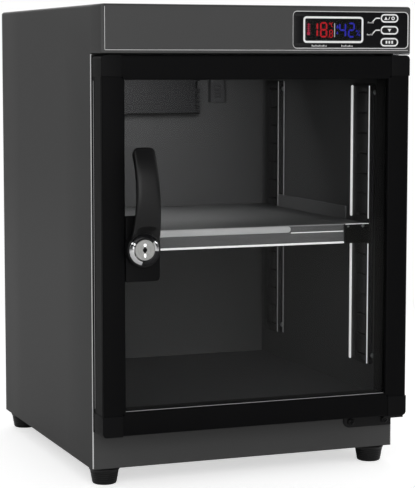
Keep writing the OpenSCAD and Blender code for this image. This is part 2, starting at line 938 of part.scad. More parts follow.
module hinge_pins() {
    color("silver") {
        bar_z(hinge_x, hinge_y, bracket_z - bracket_t, door_z + pin_l, pin_d / 2);
        bar_z(hinge_x, hinge_y, door_top - pin_l, hood_z, pin_d / 2);
    }
}

module bracket_screws() {
    color("silver")
        for (x = bracket_screw_xs()) {
            bar_y(x, bracket_screw_z(), -bracket_t - bracket_head_t, -bracket_t, bracket_head_d / 2);
            bar_y(x, bracket_screw_z(), -bracket_t, sheet + bracket_screw_d, bracket_screw_d / 2);
        }
}

// Door

// Section of a stile or rail, from its outer face (0) inwards and from front to back
module profile_section() {
    width = border_w - corner_proud;
    depth = -door_gap - profile_y;
    hold = glass_hold + 2 * fit;
    difference() {
        square([width, depth]);
        translate([width - hold, glass_lip])
            square([hold + over, glass_t + 2 * run]);
        translate([profile_wall, profile_wall])
            square([width - hold - 2 * profile_wall, depth - 2 * profile_wall]);
    }
}

// Upright profile at the door's left edge
module stile() {
    translate([-door_half + corner_proud, profile_y, door_z + corner_w])
        linear_extrude(door_top - door_z - 2 * corner_w)
            profile_section();
}

// Level profile at the door's lower edge, coped at both ends to meet the stiles
module rail() {
    rail_half = door_half - corner_w;
    difference() {
        translate([-rail_half, profile_y, door_z + corner_proud])
            rotate([90, 0, 90])
                linear_extrude(2 * rail_half)
                    mirror([1, -1])
                        profile_section();
        both_sides()
            slab(window_half, door_half, profile_y - over, 0, door_z + corner_w, door_z + 2 * corner_w);
    }
}

module flip_door() {
    translate([0, 0, door_top + door_z])
        mirror([0, 0, 1])
            children();
}

module stile_left() {
    color("#0e0e0f")
        stile();
}

module stile_right() {
    color("#0e0e0f")
        mirror([1, 0, 0])
            stile();
}

module rail_bottom() {
    color("#0e0e0f")
        rail();
}

module rail_top() {
    color("#0e0e0f")
        flip_door()
            rail();
}

// Block at the door's lower right, with a spigot into each profile
module corner_block() {
    x0 = door_half - corner_w;
    z1 = door_z + corner_w;
    inner = profile_wall + run;
    spigot_in = border_w - corner_proud - glass_hold - 2 * fit - profile_wall - run;
    plate_y(-hood_d, -door_gap) {
        translate([x0, door_z + corner_r])
            square([corner_w, corner_w - corner_r]);
        translate([x0, door_z])
            square([corner_w - corner_r, corner_w]);
        translate([door_half - corner_r, door_z + corner_r])
            circle(corner_r);
    }
    slab(x0 - spigot_l, x0, profile_y + inner, -door_gap - inner,
        door_z + corner_proud + inner, door_z + corner_proud + spigot_in);
    slab(door_half - corner_proud - spigot_in, door_half - corner_proud - inner,
        profile_y + inner, -door_gap - inner, z1, z1 + spigot_l);
}

module door_corners() {
    color("#121213") {
        mirror([1, 0, 0]) {
            corner_block();
            flip_door()
                corner_block();
        }
        difference() {
            union() {
                corner_block();
                flip_door()
                    corner_block();
            }
            for (z = [door_z - over, door_top - pin_l - fit])
                bar_z(hinge_x, hinge_y, z, z + pin_l + fit + over, bush_d / 2 + run / 2);
        }
    }
}

module door_glass() {
    color("#8fa3a8", 0.35)
        difference() {
            slab(-glass_half, glass_half, glass_y, glass_back,
                door_z + border_w - glass_hold, door_top - border_w + glass_hold);
            bar_y(lock_x, lock_z, glass_y - over, glass_back + over, neck_d / 2 + fit);
        }
}

module gasket_outline(inset) {
    translate([-door_half + inset, door_z + inset])
        square([2 * (door_half - inset), door_top - door_z - 2 * inset]);
}

module door_gasket() {
    color("#0c0c0c")
        plate_y(-door_gap, -fit)
            difference() {
                gasket_outline(gasket_inset);
                gasket_outline(gasket_inset + gasket_w);
            }
}

// Nylon bushes with a collar that carries the door on the lower bracket
module hinge_bushes() {
    color("#d8d4c8") {
        difference() {
            union() {
                bar_z(hinge_x, hinge_y, door_z, door_z + pin_l, bush_d / 2);
                bar_z(hinge_x, hinge_y, bracket_z + run / 2, door_z, bush_collar_d / 2);
            }
            bar_z(hinge_x, hinge_y, bracket_z - over, door_z + pin_l + over, pin_d / 2 + run);
        }
        difference() {
            bar_z(hinge_x, hinge_y, door_top - pin_l, door_top, bush_d / 2);
            bar_z(hinge_x, hinge_y, door_top - pin_l - over, door_top + over, pin_d / 2 + run);
        }
    }
}

// Lock and handle

// Plate on the pane with a hollow threaded neck through it
module lock_plate() {
    x0 = -window_half + run;
    x1 = x0 + lock_plate_w;
    color("#101011")
        difference() {
            union() {
                plate_y(-hood_d, glass_y) {
                    translate([x0, lock_z - lock_plate_h / 2])
                        square([lock_plate_w - lock_plate_r, lock_plate_h]);
                    translate([x0, lock_z - lock_plate_h / 2 + lock_plate_r])
                        square([lock_plate_w, lock_plate_h - 2 * lock_plate_r]);
                    for (sz = [-1, 1])
                        translate([x1 - lock_plate_r, lock_z + sz * (lock_plate_h / 2 - lock_plate_r)])
                            circle(lock_plate_r);
                }
                bar_y(lock_x, lock_z, glass_y, glass_back + neck_l, neck_d / 2);
            }
            bar_y(lock_x, lock_z, -hood_d - over, glass_back + neck_l + over, spindle_d / 2 + run);
        }
}

module lock_washer() {
    color("#1c1c1c")
        difference() {
            bar_y(lock_x, lock_z, glass_back, glass_back + washer_t, nut_w / 2);
            bar_y(lock_x, lock_z, glass_back - over, glass_back + washer_t + over, neck_d / 2 + run);
        }
}

module lock_nut() {
    nut_y = glass_back + washer_t;
    color("silver")
        difference() {
            translate([lock_x, nut_y, lock_z])
                rotate([-90, 30, 0])
                    cylinder(h = nut_t, r = nut_w / 2 / cos(30), $fn = 6);
            bar_y(lock_x, lock_z, nut_y - over, nut_y + nut_t + over, neck_d / 2 + run);
        }
}

// Half width of the lever at a share t of the way from its root to its tip
function lever_half(t) = (lever_tip_w + (lever_root_w - lever_tip_w) * pow(1 - t, 2)) / 2;

// Front view of the lever: a neck that narrows from the boss to a tip with round corners
module lever_front() {
    root_z = lever_l * root_share;
    steps = 8;
    corner_steps = 4;
    span = lever_l - root_z - lever_tip_r;
    neck = [for (i = [0:steps - 1]) [lever_half(i / steps), root_z + span * i / steps]];
    tip = [for (i = [0:corner_steps]) [
        lever_tip_w / 2 - lever_tip_r + lever_tip_r * cos(90 * i / corner_steps),
        lever_l - lever_tip_r + lever_tip_r * sin(90 * i / corner_steps)
    ]];
    right = concat([[lever_root_w / 2, 0]], neck, tip);
    last = len(right) - 1;
    translate([lock_x, lock_z])
        polygon(concat(right, [for (i = [last:-1:0]) [-right[i][0], right[i][1]]]));
}

// Side view of the lever: a bow of even thickness from the boss to the tip
module lever_side() {
    sag = handle_reach + boss_front;
    bow_r = (pow(lever_l / 2, 2) + pow(sag, 2)) / (2 * sag);
    translate([-handle_reach + bow_r, lock_z + lever_l / 2])
        difference() {
            circle(bow_r, $fn = 96);
            circle(bow_r - lever_t, $fn = 96);
        }
}

module handle_lever() {
    color("#1a1a1b")
        difference() {
            union() {
                bar_y(lock_x, lock_z, boss_front, boss_back, boss_d / 2);
                intersection() {
                    plate_y(-handle_reach - over, boss_back)
                        lever_front();
                    plate_x(lock_x - boss_d, lock_x + boss_d)
                        lever_side();
                }
            }
            bar_y(lock_x, lock_z, -handle_reach - over, boss_front, ring_d / 2 + fit);
            bar_y(lock_x, lock_z, -handle_reach - over, boss_front + barrel_l + run, barrel_d / 2 + run);
            bar_y(lock_x, lock_z, boss_front + lever_t, boss_back + over, spindle_d / 2 + run / 2);
        }
}

// Chrome barrel: a flange on the boss and a cup that holds the key plug
module lock_barrel() {
    color("silver")
        difference() {
            union() {
                bar_y(lock_x, lock_z, boss_front - ring_t, boss_front, ring_d / 2);
                bar_y(lock_x, lock_z, boss_front, boss_front + barrel_l, barrel_d / 2);
            }
            bar_y(lock_x, lock_z, boss_front - ring_t - over,
                boss_front - ring_t + plug_l + run, plug_d / 2 + run);
        }
}

module lock_plug() {
    plug_y = boss_front - ring_t - plug_proud;
    color("lightgray")
        difference() {
            bar_y(lock_x, lock_z, plug_y, plug_y + plug_proud + plug_l, plug_d / 2);
            slab(lock_x - keyway_w / 2, lock_x + keyway_w / 2, plug_y - over, plug_y + plug_l / 2,
                lock_z - keyway_h / 2, lock_z + keyway_h / 2);
            bar_y(lock_x, lock_z + keyway_h / 8, plug_y - over, plug_y + plug_l / 2, keyway_w);
        }
}

module lock_spindle() {
    color("silver")
        difference() {
            union() {
                bar_y(lock_x, lock_z, spindle_front, cam_y - run, spindle_d / 2);
                bar_y(lock_x, lock_z, cam_y - run, cam_y + cam_t, nose_d / 2);
            }
            bar_y(lock_x, lock_z, -door_gap, cam_y + cam_t + over, cam_screw_d / 2 + run / 2);
        }
}

// Cam on the spindle's nose, hanging straight down while the door is free
module latch_cam() {
    color("silver")
        difference() {
            plate_y(cam_y, cam_y + cam_t)
                translate([lock_x, lock_z]) {
                    circle(spindle_d / 2 + lever_t / 2);
                    translate([-cam_w / 2, -cam_l + cam_w / 2])
                        square([cam_w, cam_l - cam_w / 2]);
                    translate([0, -cam_l + cam_w / 2])
                        circle(cam_w / 2);
                }
            bar_y(lock_x, lock_z, cam_y - over, cam_y + cam_t + over, nose_d / 2 + run / 2);
        }
}

module cam_screw() {
    head_y = cam_y + cam_t + run / 2;
    color("silver") {
        bar_y(lock_x, lock_z, head_y, head_y + cam_head_t, cam_head_d / 2);
        bar_y(lock_x, lock_z, -door_gap + run, head_y, cam_screw_d / 2);
    }
}

// Dryer

// Shell over the cold sink, with vent slots in its front, sides and underside
module dryer_cover() {
    y0 = chamber_back - dryer_d;
    inner = dryer_w / 2 - cover_wall;
    side_slots = floor((dryer_d - 2 * vent_w) / (2 * vent_w));
    floor_slots = floor((dryer_w - 4 * vent_w) / (2 * vent_w) / 2);
    color("#232426")
        difference() {
            slab(-dryer_w / 2, dryer_w / 2, y0, chamber_back, dryer_z, dryer_z + dryer_h);
            slab(-inner, inner, y0 + cover_wall, chamber_back + over,
                dryer_z + cover_wall, dryer_z + dryer_h - cover_wall);
            for (i = [0:side_slots - 1])
                translate([0, y0 + 2 * vent_w + i * 2 * vent_w, 0])
                    slab(-dryer_w, dryer_w, -vent_w / 2, vent_w / 2,
                        dryer_z + 3 * vent_w, dryer_z + dryer_h - 3 * vent_w);
            for (i = [-floor_slots:floor_slots])
                translate([i * 2 * vent_w, 0, 0])
                    slab(-vent_w / 2, vent_w / 2, y0 + 2 * vent_w, chamber_back - 2 * vent_w,
                        dryer_z - over, dryer_z + cover_wall + over);
        }
}

// Finned plate: base from y0 to y1, fins from f0 to f1
module finned_plate(w, y0, y1, f0, f1) {
    fins = floor((w - fin_t) / fin_pitch / 2);
    slab(-w / 2, w / 2, y0, y1, stack_z - sink_h / 2, stack_z + sink_h / 2);
    for (i = [-fins:fins])
        translate([i * fin_pitch, 0, 0])
            slab(-fin_t / 2, fin_t / 2, f0, f1, stack_z - sink_h / 2, stack_z + sink_h / 2);
}

module cold_sink() {
    color("gainsboro")
        finned_plate(cold_w, spacer_y, spacer_y + sink_base, spacer_y - cold_fin, spacer_y);
}

module spacer_block() {
    color("gainsboro")
        slab(-module_w / 2, module_w / 2, spacer_y + sink_base, module_y,
            stack_z - module_w / 2, stack_z + module_w / 2);
}

module cooling_module() {
    color("white")
        slab(-module_w / 2, module_w / 2, module_y, module_y + module_t,
            stack_z - module_w / 2, stack_z + module_w / 2);
}

module hot_sink() {
    hot_y = module_y + module_t;
    color("gainsboro")
        finned_plate(hot_w, hot_y, hot_y + sink_base, hot_y + sink_base, hot_y + sink_base + hot_fin);
}

// Foam between the liner and the back panel, round the spacer and the wick
module foam_frame() {
    color("#3b3b3b")
        difference() {
            slab(-module_w, module_w, chamber_back + liner_t, body_d - sheet,
                stack_z - module_w + liner_t, stack_z + foam_rim - lead_d);
            slab(-wick_w, wick_w, chamber_back, body_d,
                stack_z - port_half_h, stack_z + module_w / 2 + fit);
        }
}

module evaporator_wick() {
    wick_z = stack_z - sink_h / 2 - run;
    color("ivory")
        slab(-wick_w / 2, wick_w / 2, spacer_y - cold_fin / 2, body_d + sink_base + hot_fin / 2,
            wick_z - wick_t, wick_z);
}

module vent_screw_places() {
    inset = cover_wall + cover_head_d;
    for (sx = [-1, 1], sz = [-1, 1])
        translate([sx * (vent_cover_w / 2 - inset), 0, stack_z + sz * (vent_half_h - inset)])
            children();
}

// Louvred cover over the hot sink, with a post for each screw
module rear_vent_cover() {
    y1 = body_d + vent_cover_d;
    rows = floor((vent_cover_h - 8 * vent_w) / (3 * vent_w) / 2);
    slot_half = vent_cover_w / 2 - 2 * cover_head_d - cover_wall;
    color("#1d1e20")
        difference() {
            union() {
                difference() {
                    slab(-vent_cover_w / 2, vent_cover_w / 2, body_d, y1,
                        stack_z - vent_half_h, stack_z + vent_half_h);
                    slab(-vent_cover_w / 2 + cover_wall, vent_cover_w / 2 - cover_wall,
                        body_d - over, y1 - cover_wall,
                        stack_z - vent_half_h + cover_wall, stack_z + vent_half_h - cover_wall);
                }
                vent_screw_places()
                    bar_y(0, 0, body_d, y1 - cover_wall, cover_head_d / 2);
            }
            for (i = [-rows:rows])
                translate([0, 0, stack_z + i * 3 * vent_w])
                    slab(-slot_half, slot_half, y1 - cover_wall - over, y1 + over,
                        -vent_w / 2, vent_w / 2);
            vent_screw_places()
                bar_y(0, 0, body_d - over, y1 + over, cover_screw_d / 2 + run);
        }
}

module vent_cover_screws() {
    y1 = body_d + vent_cover_d;
    color("silver")
        vent_screw_places() {
            bar_y(0, 0, y1, y1 + cover_head_t, cover_head_d / 2);
            bar_y(0, 0, body_d - sheet - cover_head_t, y1, cover_screw_d / 2);
        }
}

// Power, sensing and leads

// Round socket with a centre pin, its flange on the back panel
module power_inlet() {
    x = half_w - inlet_inset;
    y1 = body_d + inlet_flange_t;
    color("#141414") {
        difference() {
            union() {
                bar_y(x, inlet_z, body_d, y1, inlet_flange_d / 2);
                bar_y(x, inlet_z, body_d - inlet_l, body_d, inlet_d / 2);
            }
            bar_y(x, inlet_z, y1 - inlet_depth, y1 + over, inlet_bore / 2);
        }
        bar_y(x, inlet_z, y1 - inlet_depth - inlet_pin, y1 - inlet_flange_t / 2, inlet_pin / 2);
    }
}

function sensor_x() = dryer_w / 2 + sensor_w + lead_pitch / 2;

// Vented capsule on the back wall beside the dryer
module humidity_sensor() {
    x = sensor_x();
    y0 = chamber_back - sensor_d;
    color("#e4e4e0")
        difference() {
            slab(x - sensor_w / 2, x + sensor_w / 2, y0, chamber_back,
                stack_z - sensor_h / 2, stack_z + sensor_h / 2);
            for (i = [-2:2])
                translate([0, 0, stack_z + i * vent_w])
                    slab(x - sensor_w / 4, x + sensor_w / 4, y0 - over, y0 + cover_wall,
                        -vent_w / 4, vent_w / 4);
        }
}

// Round lead along a list of corner points, with a ball at each corner
module lead(points) {
    for (i = [0:len(points) - 2]) {
        step = points[i + 1] - points[i];
        translate(points[i])
            rotate([0, acos(step[2] / norm(step)), atan2(step[1], step[0])])
                cylinder(h = norm(step), r = lead_d / 2);
    }
    for (i = [1:len(points) - 2])
        translate(points[i])
            sphere(lead_d / 2);
}

function lead_x(i) = half_w - inlet_inset + lead_pitch * (0.75 - i);

// Leads from the board over the ceiling to the inlet, the cooling module and the sensor
module wiring_harness() {
    board_back = board_y + board_t;
    turn_y = sheet + lead_d;
    inlet_x = half_w - inlet_inset;
    inlet_y = body_d - inlet_l;
    color("#b33a2e") {
        lead([
            [lead_x(0), board_back, panel_z],
            [lead_x(0), turn_y, panel_z],
            [lead_x(0), turn_y, lead_z],
            [lead_x(0), lead_gap_y, lead_z],
            [lead_x(0), lead_gap_y, inlet_z],
            [lead_x(0), inlet_y - lead_d, inlet_z],
            [inlet_x, inlet_y - lead_d, inlet_z],
            [inlet_x, inlet_y, inlet_z]
        ]);
        lead([
            [lead_x(1), board_back, panel_z],
            [lead_x(1), turn_y, panel_z],
            [lead_x(1), turn_y, lead_z],
            [lead_x(1), lead_gap_y, lead_z],
            [lead_x(1), lead_gap_y, stack_z],
            [sensor_x(), lead_gap_y, stack_z],
            [sensor_x(), chamber_back, stack_z]
        ]);
        lead([
            [lead_x(2), board_back, panel_z],
            [lead_x(2), turn_y, panel_z],
            [lead_x(2), turn_y, lead_z],
            [lead_x(2), lead_gap_y, lead_z],
            [lead_x(2), lead_gap_y, stack_z + foam_rim],
            [module_w * foam_lead_share, lead_gap_y, stack_z + foam_rim],
            [module_w * foam_lead_share, lead_gap_y, stack_z + foam_rim - lead_d]
        ]);
    }
}

// Saddles on the ceiling that hold the three leads
module cable_clips() {
    color("#1a1a1a")
        for (i = [1:3])
            translate([0, chamber_back * i / 4, 0])
                difference() {
                    slab(lead_x(2) - lead_pitch / 2, lead_x(0) + lead_pitch / 2,
                        -clip_w / 2, clip_w / 2, ceiling_z + liner_t, ceiling_z + liner_t + clip_h);
                    for (j = [0:2])
                        bar_y(lead_x(j), lead_z, -clip_w, clip_w, lead_d / 2 + run / 2);
                }
}

stand() outer_wrap();
stand() face_frame();
stand() hood_front();
stand() bottom_panel();
stand() back_panel();
stand() liner_wrap();
stand() liner_floor();
stand() liner_ceiling();
stand() rubber_feet();
stand() foot_screws();
stand() control_bezel();
stand() display_window();
stand() display_module();
stand() control_board();
stand() key_switches();
stand() board_screws();
stand() key_up();
stand() key_down();
stand() key_set();
stand() uprights_left();
stand() uprights_right();
stand() upright_rivets();
stand() shelf_tray();
stand() shelf_edge_strip();
stand() shelf_brackets();
stand() strike_plate();
stand() hinge_plate_top();
stand() hinge_bracket_bottom();
stand() hinge_pins();
stand() bracket_screws();
stand() stile_left();
stand() stile_right();
stand() rail_top();
stand() rail_bottom();
stand() door_corners();
stand() door_glass();
stand() door_gasket();
stand() hinge_bushes();
stand() lock_plate();
stand() lock_washer();
stand() lock_nut();
stand() handle_lever();
stand() lock_barrel();
stand() lock_spindle();
stand() latch_cam();
stand() cam_screw();
stand() lock_plug();
stand() dryer_cover();
stand() cold_sink();
stand() spacer_block();
stand() cooling_module();
stand() hot_sink();
stand() foam_frame();
stand() evaporator_wick();
stand() rear_vent_cover();
stand() vent_cover_screws();
stand() power_inlet();
stand() humidity_sensor();
stand() wiring_harness();
stand() cable_clips();
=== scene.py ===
"""Looks of the camera dry cabinet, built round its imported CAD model.

Shapes are worked out in millimetres in the body's own frame, with y = 0 on the body's
front plane and z = 0 on its underside, and are moved into the model's frame as a piece
is made.
"""

import math

import bmesh
import bpy
import numpy as np
from mathutils import Euler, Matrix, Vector
from mathutils.geometry import tessellate_polygon


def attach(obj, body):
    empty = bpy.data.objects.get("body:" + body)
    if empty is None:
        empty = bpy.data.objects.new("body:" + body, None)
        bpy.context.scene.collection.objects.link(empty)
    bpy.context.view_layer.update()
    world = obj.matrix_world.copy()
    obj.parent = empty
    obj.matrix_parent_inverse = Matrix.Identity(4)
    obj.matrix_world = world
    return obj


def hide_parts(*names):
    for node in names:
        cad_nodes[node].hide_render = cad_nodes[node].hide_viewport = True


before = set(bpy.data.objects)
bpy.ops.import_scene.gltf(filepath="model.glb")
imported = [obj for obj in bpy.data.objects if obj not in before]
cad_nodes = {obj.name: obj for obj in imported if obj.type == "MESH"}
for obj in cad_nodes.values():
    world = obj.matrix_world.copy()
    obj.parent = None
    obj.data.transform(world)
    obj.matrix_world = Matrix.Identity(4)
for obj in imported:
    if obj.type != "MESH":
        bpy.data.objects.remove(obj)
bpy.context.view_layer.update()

# Millimetres from the body's frame to the model's frame
SHIFT = np.array([0.0, -135.0, 16.0])
MM = 0.001

# Points closer than this, in metres, are made one
MERGE = 2e-6


# Materials


def tint(*levels):
    """Colour levels from 0 to 255 as a linear colour: ((v / 255 + 0.055) / 1.055) ^ 2.4."""
    return (*(((v / 255 + 0.055) / 1.055) ** 2.4 for v in levels), 1.0)


def add(tree, kind, sources=(), **values):
    """A shader node with its values set by attribute or socket name. Each source feeds
    a socket, by name or place, with an output, a node's first output or a number."""
    made = tree.nodes.new("ShaderNode" + kind)
    for name, value in values.items():
        if hasattr(made, name):
            setattr(made, name, value)
        else:
            made.inputs[name.replace("_", " ")].default_value = value
    for socket, source in sources:
        if isinstance(source, float):
            made.inputs[socket].default_value = source
        else:
            tree.links.new(getattr(source, "outputs", [source])[0], made.inputs[socket])
    return made


def fresh(name):
    """An empty node material with its tree, its surface socket and the object's place."""
    made = bpy.data.materials.new(name)
    made.use_nodes = True
    tree = made.node_tree
    tree.nodes.clear()
    out = add(tree, "OutputMaterial")
    return made, tree, out.inputs[0], add(tree, "TexCoord").outputs["Object"]


def noise(tree, where, scale, detail, share=0.5):
    """A noise at a place, whose finer layers each have that share."""
    return add(tree, "TexNoise", [("Vector", where)], Scale=scale, Detail=detail,
               Roughness=share)


def between(tree, factor, low, high):
    """low + factor * (high - low)."""
    return add(tree, "MapRange", [("Value", factor)], To_Min=low, To_Max=high)


def finish(name, levels, rough, specular, grain, bump, mottle, spread, metal=0.0,
           depth=0.00004, rough_spread=0.06, stretch=(1, 1, 1), coat=0.0,
           glow=(1, 1, 1, 1), glow_strength=0.0):
    """One surface finish. Its colour is colour * (1 +- spread) by a broad noise of scale
    mottle, its roughness is rough +- rough_spread by a fine noise of scale grain, and the
    fine noise also lifts the surface by depth metres, at strength bump. stretch draws both
    noises out along an axis, as brushing."""
    made, tree, out, where = fresh(name)
    drawn = add(tree, "Mapping", [("Vector", where)], Scale=stretch)
    broad = noise(tree, drawn, mottle, 4.0, 0.55)
    fine = noise(tree, drawn, grain, 2.0)
    pale = add(tree, "Mix", [(0, broad)], data_type="RGBA")
    for socket, share in ((6, 1 - spread), (7, 1 + spread)):
        pale.inputs[socket].default_value = [c * share for c in tint(*levels)[:3]] + [1.0]
    roughness = between(tree, fine, max(rough - rough_spread, 0.02),
                        min(rough + rough_spread, 1.0))
    lifted = add(tree, "Bump", [("Height", fine)], Strength=bump, Distance=depth)
    shader = add(tree, "BsdfPrincipled",
                 [("Base Color", pale.outputs[2]), ("Roughness", roughness),
                  ("Normal", lifted)],
                 Metallic=metal, Specular_IOR_Level=specular, Coat_Weight=coat,
                 Coat_Roughness=0.3, Emission_Color=glow, Emission_Strength=glow_strength)
    tree.links.new(shader.outputs[0], out)
    return made


def led(name, levels, glow, strength):
    """A lit segment, which glows in a colour of its own."""
    return finish(name, levels, 0.4, 0.5, 800, 0.25, 300, 0.06, glow=glow,
                  glow_strength=strength)


def clear_pane(name, passed, mirrored):
    """Clear glass: what is behind it, tinted by passed, mixed with a mirror by Fresnel."""
    made, tree, out, where = fresh(name)
    haze = between(tree, noise(tree, where, 14.0, 3.0), 0.02, 0.07)
    through = add(tree, "BsdfTransparent", Color=passed)
    mirror = add(tree, "BsdfGlossy", [("Roughness", haze)], Color=mirrored)
    edge_on = add(tree, "Fresnel", IOR=1.25)
    both = add(tree, "MixShader", [(0, edge_on), (1, through), (2, mirror)])
    tree.links.new(both.outputs[0], out)
    return made


def smoked(name, colour, alpha):
    """Smoked plastic: a dark gloss that lets 1 - alpha of what is behind it through."""
    made, tree, out, where = fresh(name)
    rough = between(tree, noise(tree, where, 60.0, 2.0), 0.08, 0.16)
    shader = add(tree, "BsdfPrincipled", [("Roughness", rough)], Alpha=alpha,
                 Base_Color=colour)
    tree.links.new(shader.outputs[0], out)
    return made


# Each row: name, colour levels, roughness, specular, grain, bump, mottle, spread
paint = finish("body_powder_coat", (70, 70, 70), 0.62, 0.18, 1500, 0.3, 7, 0.05, coat=0.12)
# pale paint on edges and chamfers: a painted highlight where they would catch the light
painted_highlight_paint = finish("painted_highlight_coat", (222, 222, 222), 0.45, 0.4, 900, 0.2, 30, 0.06)
# the body's grey made lighter inside the chamber: painted light for the dim light there
liner_paint_lightened = finish("liner_paint_lightened", (84, 84, 85), 0.6, 0.2, 1900, 0.08, 6, 0.1)
dryer_coat = finish("dryer_coat", (40, 40, 42), 0.55, 0.25, 1500, 0.1, 10, 0.1)
upright_coat = finish("upright_coat", (33, 33, 34), 0.5, 0.25, 1500, 0.1, 20, 0.08)
shelf_coat = finish("shelf_coat", (106, 106, 107), 0.5, 0.4, 1100, 0.3, 12, 0.06)
# near-white paint that glows: a painted highlight for edges and marks that would catch the
# light
glowing_highlight_paint = finish("bright_painted_highlight_glow", (244, 244, 244), 0.35, 0.5, 700, 0.05, 60, 0.03,
                     glow_strength=0.5)
# grey paint that glows faintly: a dimmer painted highlight on edges
dim_highlight_paint = finish("dim_painted_highlight_glow", (150, 150, 152), 0.4, 0.4, 700, 0.05, 60, 0.06,
                   glow_strength=0.08)
bright_steel = finish("polished_steel", (232, 232, 234), 0.2, 0.5, 400, 0.1, 60, 0.04,
                      metal=1.0, stretch=(1, 1, 0.08))
zinc = finish("zinc_plate", (176, 177, 180), 0.34, 0.5, 700, 0.2, 120, 0.12, metal=1.0)
chrome = finish("lock_chrome", (222, 222, 223), 0.12, 0.5, 500, 0.06, 90, 0.03, metal=1.0)
satin_chrome = finish("plug_satin", (180, 180, 178), 0.42, 0.5, 900, 0.5, 500, 0.2, metal=1.0)
aluminium = finish("sink_aluminium", (196, 198, 200), 0.32, 0.5, 600, 0.25, 50, 0.08,
                   metal=1.0, stretch=(1, 0.15, 1))
dark_steel = finish("black_steel", (19, 19, 20), 0.45, 0.2, 1200, 0.25, 40, 0.1)
door_black = finish("door_anodise", (9, 9, 10), 0.45, 0.06, 600, 0.15, 30, 0.12,
                    stretch=(1, 1, 0.25))
corner_black = finish("corner_plastic", (11, 11, 12), 0.46, 0.09, 1600, 0.25, 30, 0.1)
lever_black = finish("lever_satin", (12, 12, 13), 0.34, 0.34, 1800, 0.3, 50, 0.08)
gloss_black = finish("bezel_gloss", (17, 17, 19), 0.2, 0.25, 300, 0.04, 40, 0.05,
                     rough_spread=0.04)
bracket_black = finish("bracket_plastic", (22, 22, 23), 0.5, 0.3, 1500, 0.25, 60, 0.12)
cover_black = finish("cover_plastic", (30, 31, 33), 0.55, 0.3, 1300, 0.4, 30, 0.1)
sensor_grey = finish("sensor_plastic", (72, 72, 74), 0.5, 0.3, 1300, 0.25, 60, 0.06)
strip_pale = finish("strip_plastic", (224, 224, 225), 0.42, 0.5, 500, 0.25, 25, 0.05,
                    stretch=(0.2, 1, 1))
rubber = finish("foot_rubber", (9, 9, 10), 0.36, 0.42, 1400, 0.5, 60, 0.15, depth=0.00006)
seal = finish("seal_rubber", (16, 16, 16), 0.66, 0.2, 1200, 0.4, 80, 0.12)
nylon = finish("bush_nylon", (206, 202, 190), 0.5, 0.4, 900, 0.25, 90, 0.05)
ceramic = finish("module_ceramic", (226, 226, 220), 0.55, 0.5, 1200, 0.25, 80, 0.04)
foam = finish("foam_black", (34, 34, 35), 0.95, 0.1, 1800, 0.9, 120, 0.2, depth=0.0003)
felt = finish("wick_felt", (206, 202, 190), 0.95, 0.1, 2500, 0.8, 200, 0.12, depth=0.0002)
board_green = finish("board_laminate", (30, 84, 52), 0.4, 0.5, 500, 0.25, 90, 0.15)
sheath = finish("lead_sheath", (150, 44, 36), 0.5, 0.5, 1400, 0.25, 100, 0.08)
white_ink = finish("white_ink", (236, 236, 236), 0.5, 0.3, 1500, 0.2, 200, 0.03)
led_face = finish("display_face", (24, 24, 24), 0.5, 0.2, 900, 0.25, 60, 0.1)
red_led = led("red_segments", (120, 8, 14), (0.85, 0.012, 0.025, 1), 1.0)
blue_led = led("blue_segments", (18, 16, 120), (0.05, 0.045, 0.75, 1), 0.9)
pink_led = led("scale_segments", (150, 20, 50), (0.75, 0.03, 0.1, 1), 0.8)
white_led = led("white_segment", (220, 220, 220), (0.9, 0.88, 0.9, 1), 0.7)
smoke = smoked("smoked_window", tint(22, 24, 24), 0.35)
pane = clear_pane("door_glass", (0.965, 0.968, 0.966, 1), (0.55, 0.55, 0.55, 1))


# Outlines and meshes


def rounded(width, height, radius, x=0.0, z=0.0, steps=6):
    """Closed outline of a rectangle with round corners: a quarter circle of the corner's
    radius about each corner centre. radius is one number or four, from the upper right
    corner anticlockwise."""
    radii = np.broadcast_to(np.asarray(radius, float), 4)
    turn = np.linspace(0, np.pi / 2, steps + 1)
    signs = ((1, 1), (-1, 1), (-1, -1), (1, -1))
    return np.concatenate([
        np.stack([x + sx * (width / 2 - r) + r * np.cos(turn + i * np.pi / 2),
                  z + sz * (height / 2 - r) + r * np.sin(turn + i * np.pi / 2)], 1)
        for i, ((sx, sz), r) in enumerate(zip(signs, radii))])


def circle(radius, x=0.0, z=0.0, count=48):
    """Closed circle: (x + r cos a, z + r sin a)."""
    a = np.arange(count) * 2 * np.pi / count
    return np.stack([x + radius * np.cos(a), z + radius * np.sin(a)], 1)


def at_x(outline, x):
    """An outline in y and z as points at place x."""
    return np.concatenate([np.full((len(outline), 1), float(x)), outline], 1)


def at_y(outline, y):
    """An outline in x and z as points at depth y."""
    return np.stack([outline[:, 0], np.full(len(outline), float(y)), outline[:, 1]], 1)


def at_z(outline, z):
    """An outline in x and y as points at height z."""
    return np.concatenate([outline, np.full((len(outline), 1), float(z))], 1)


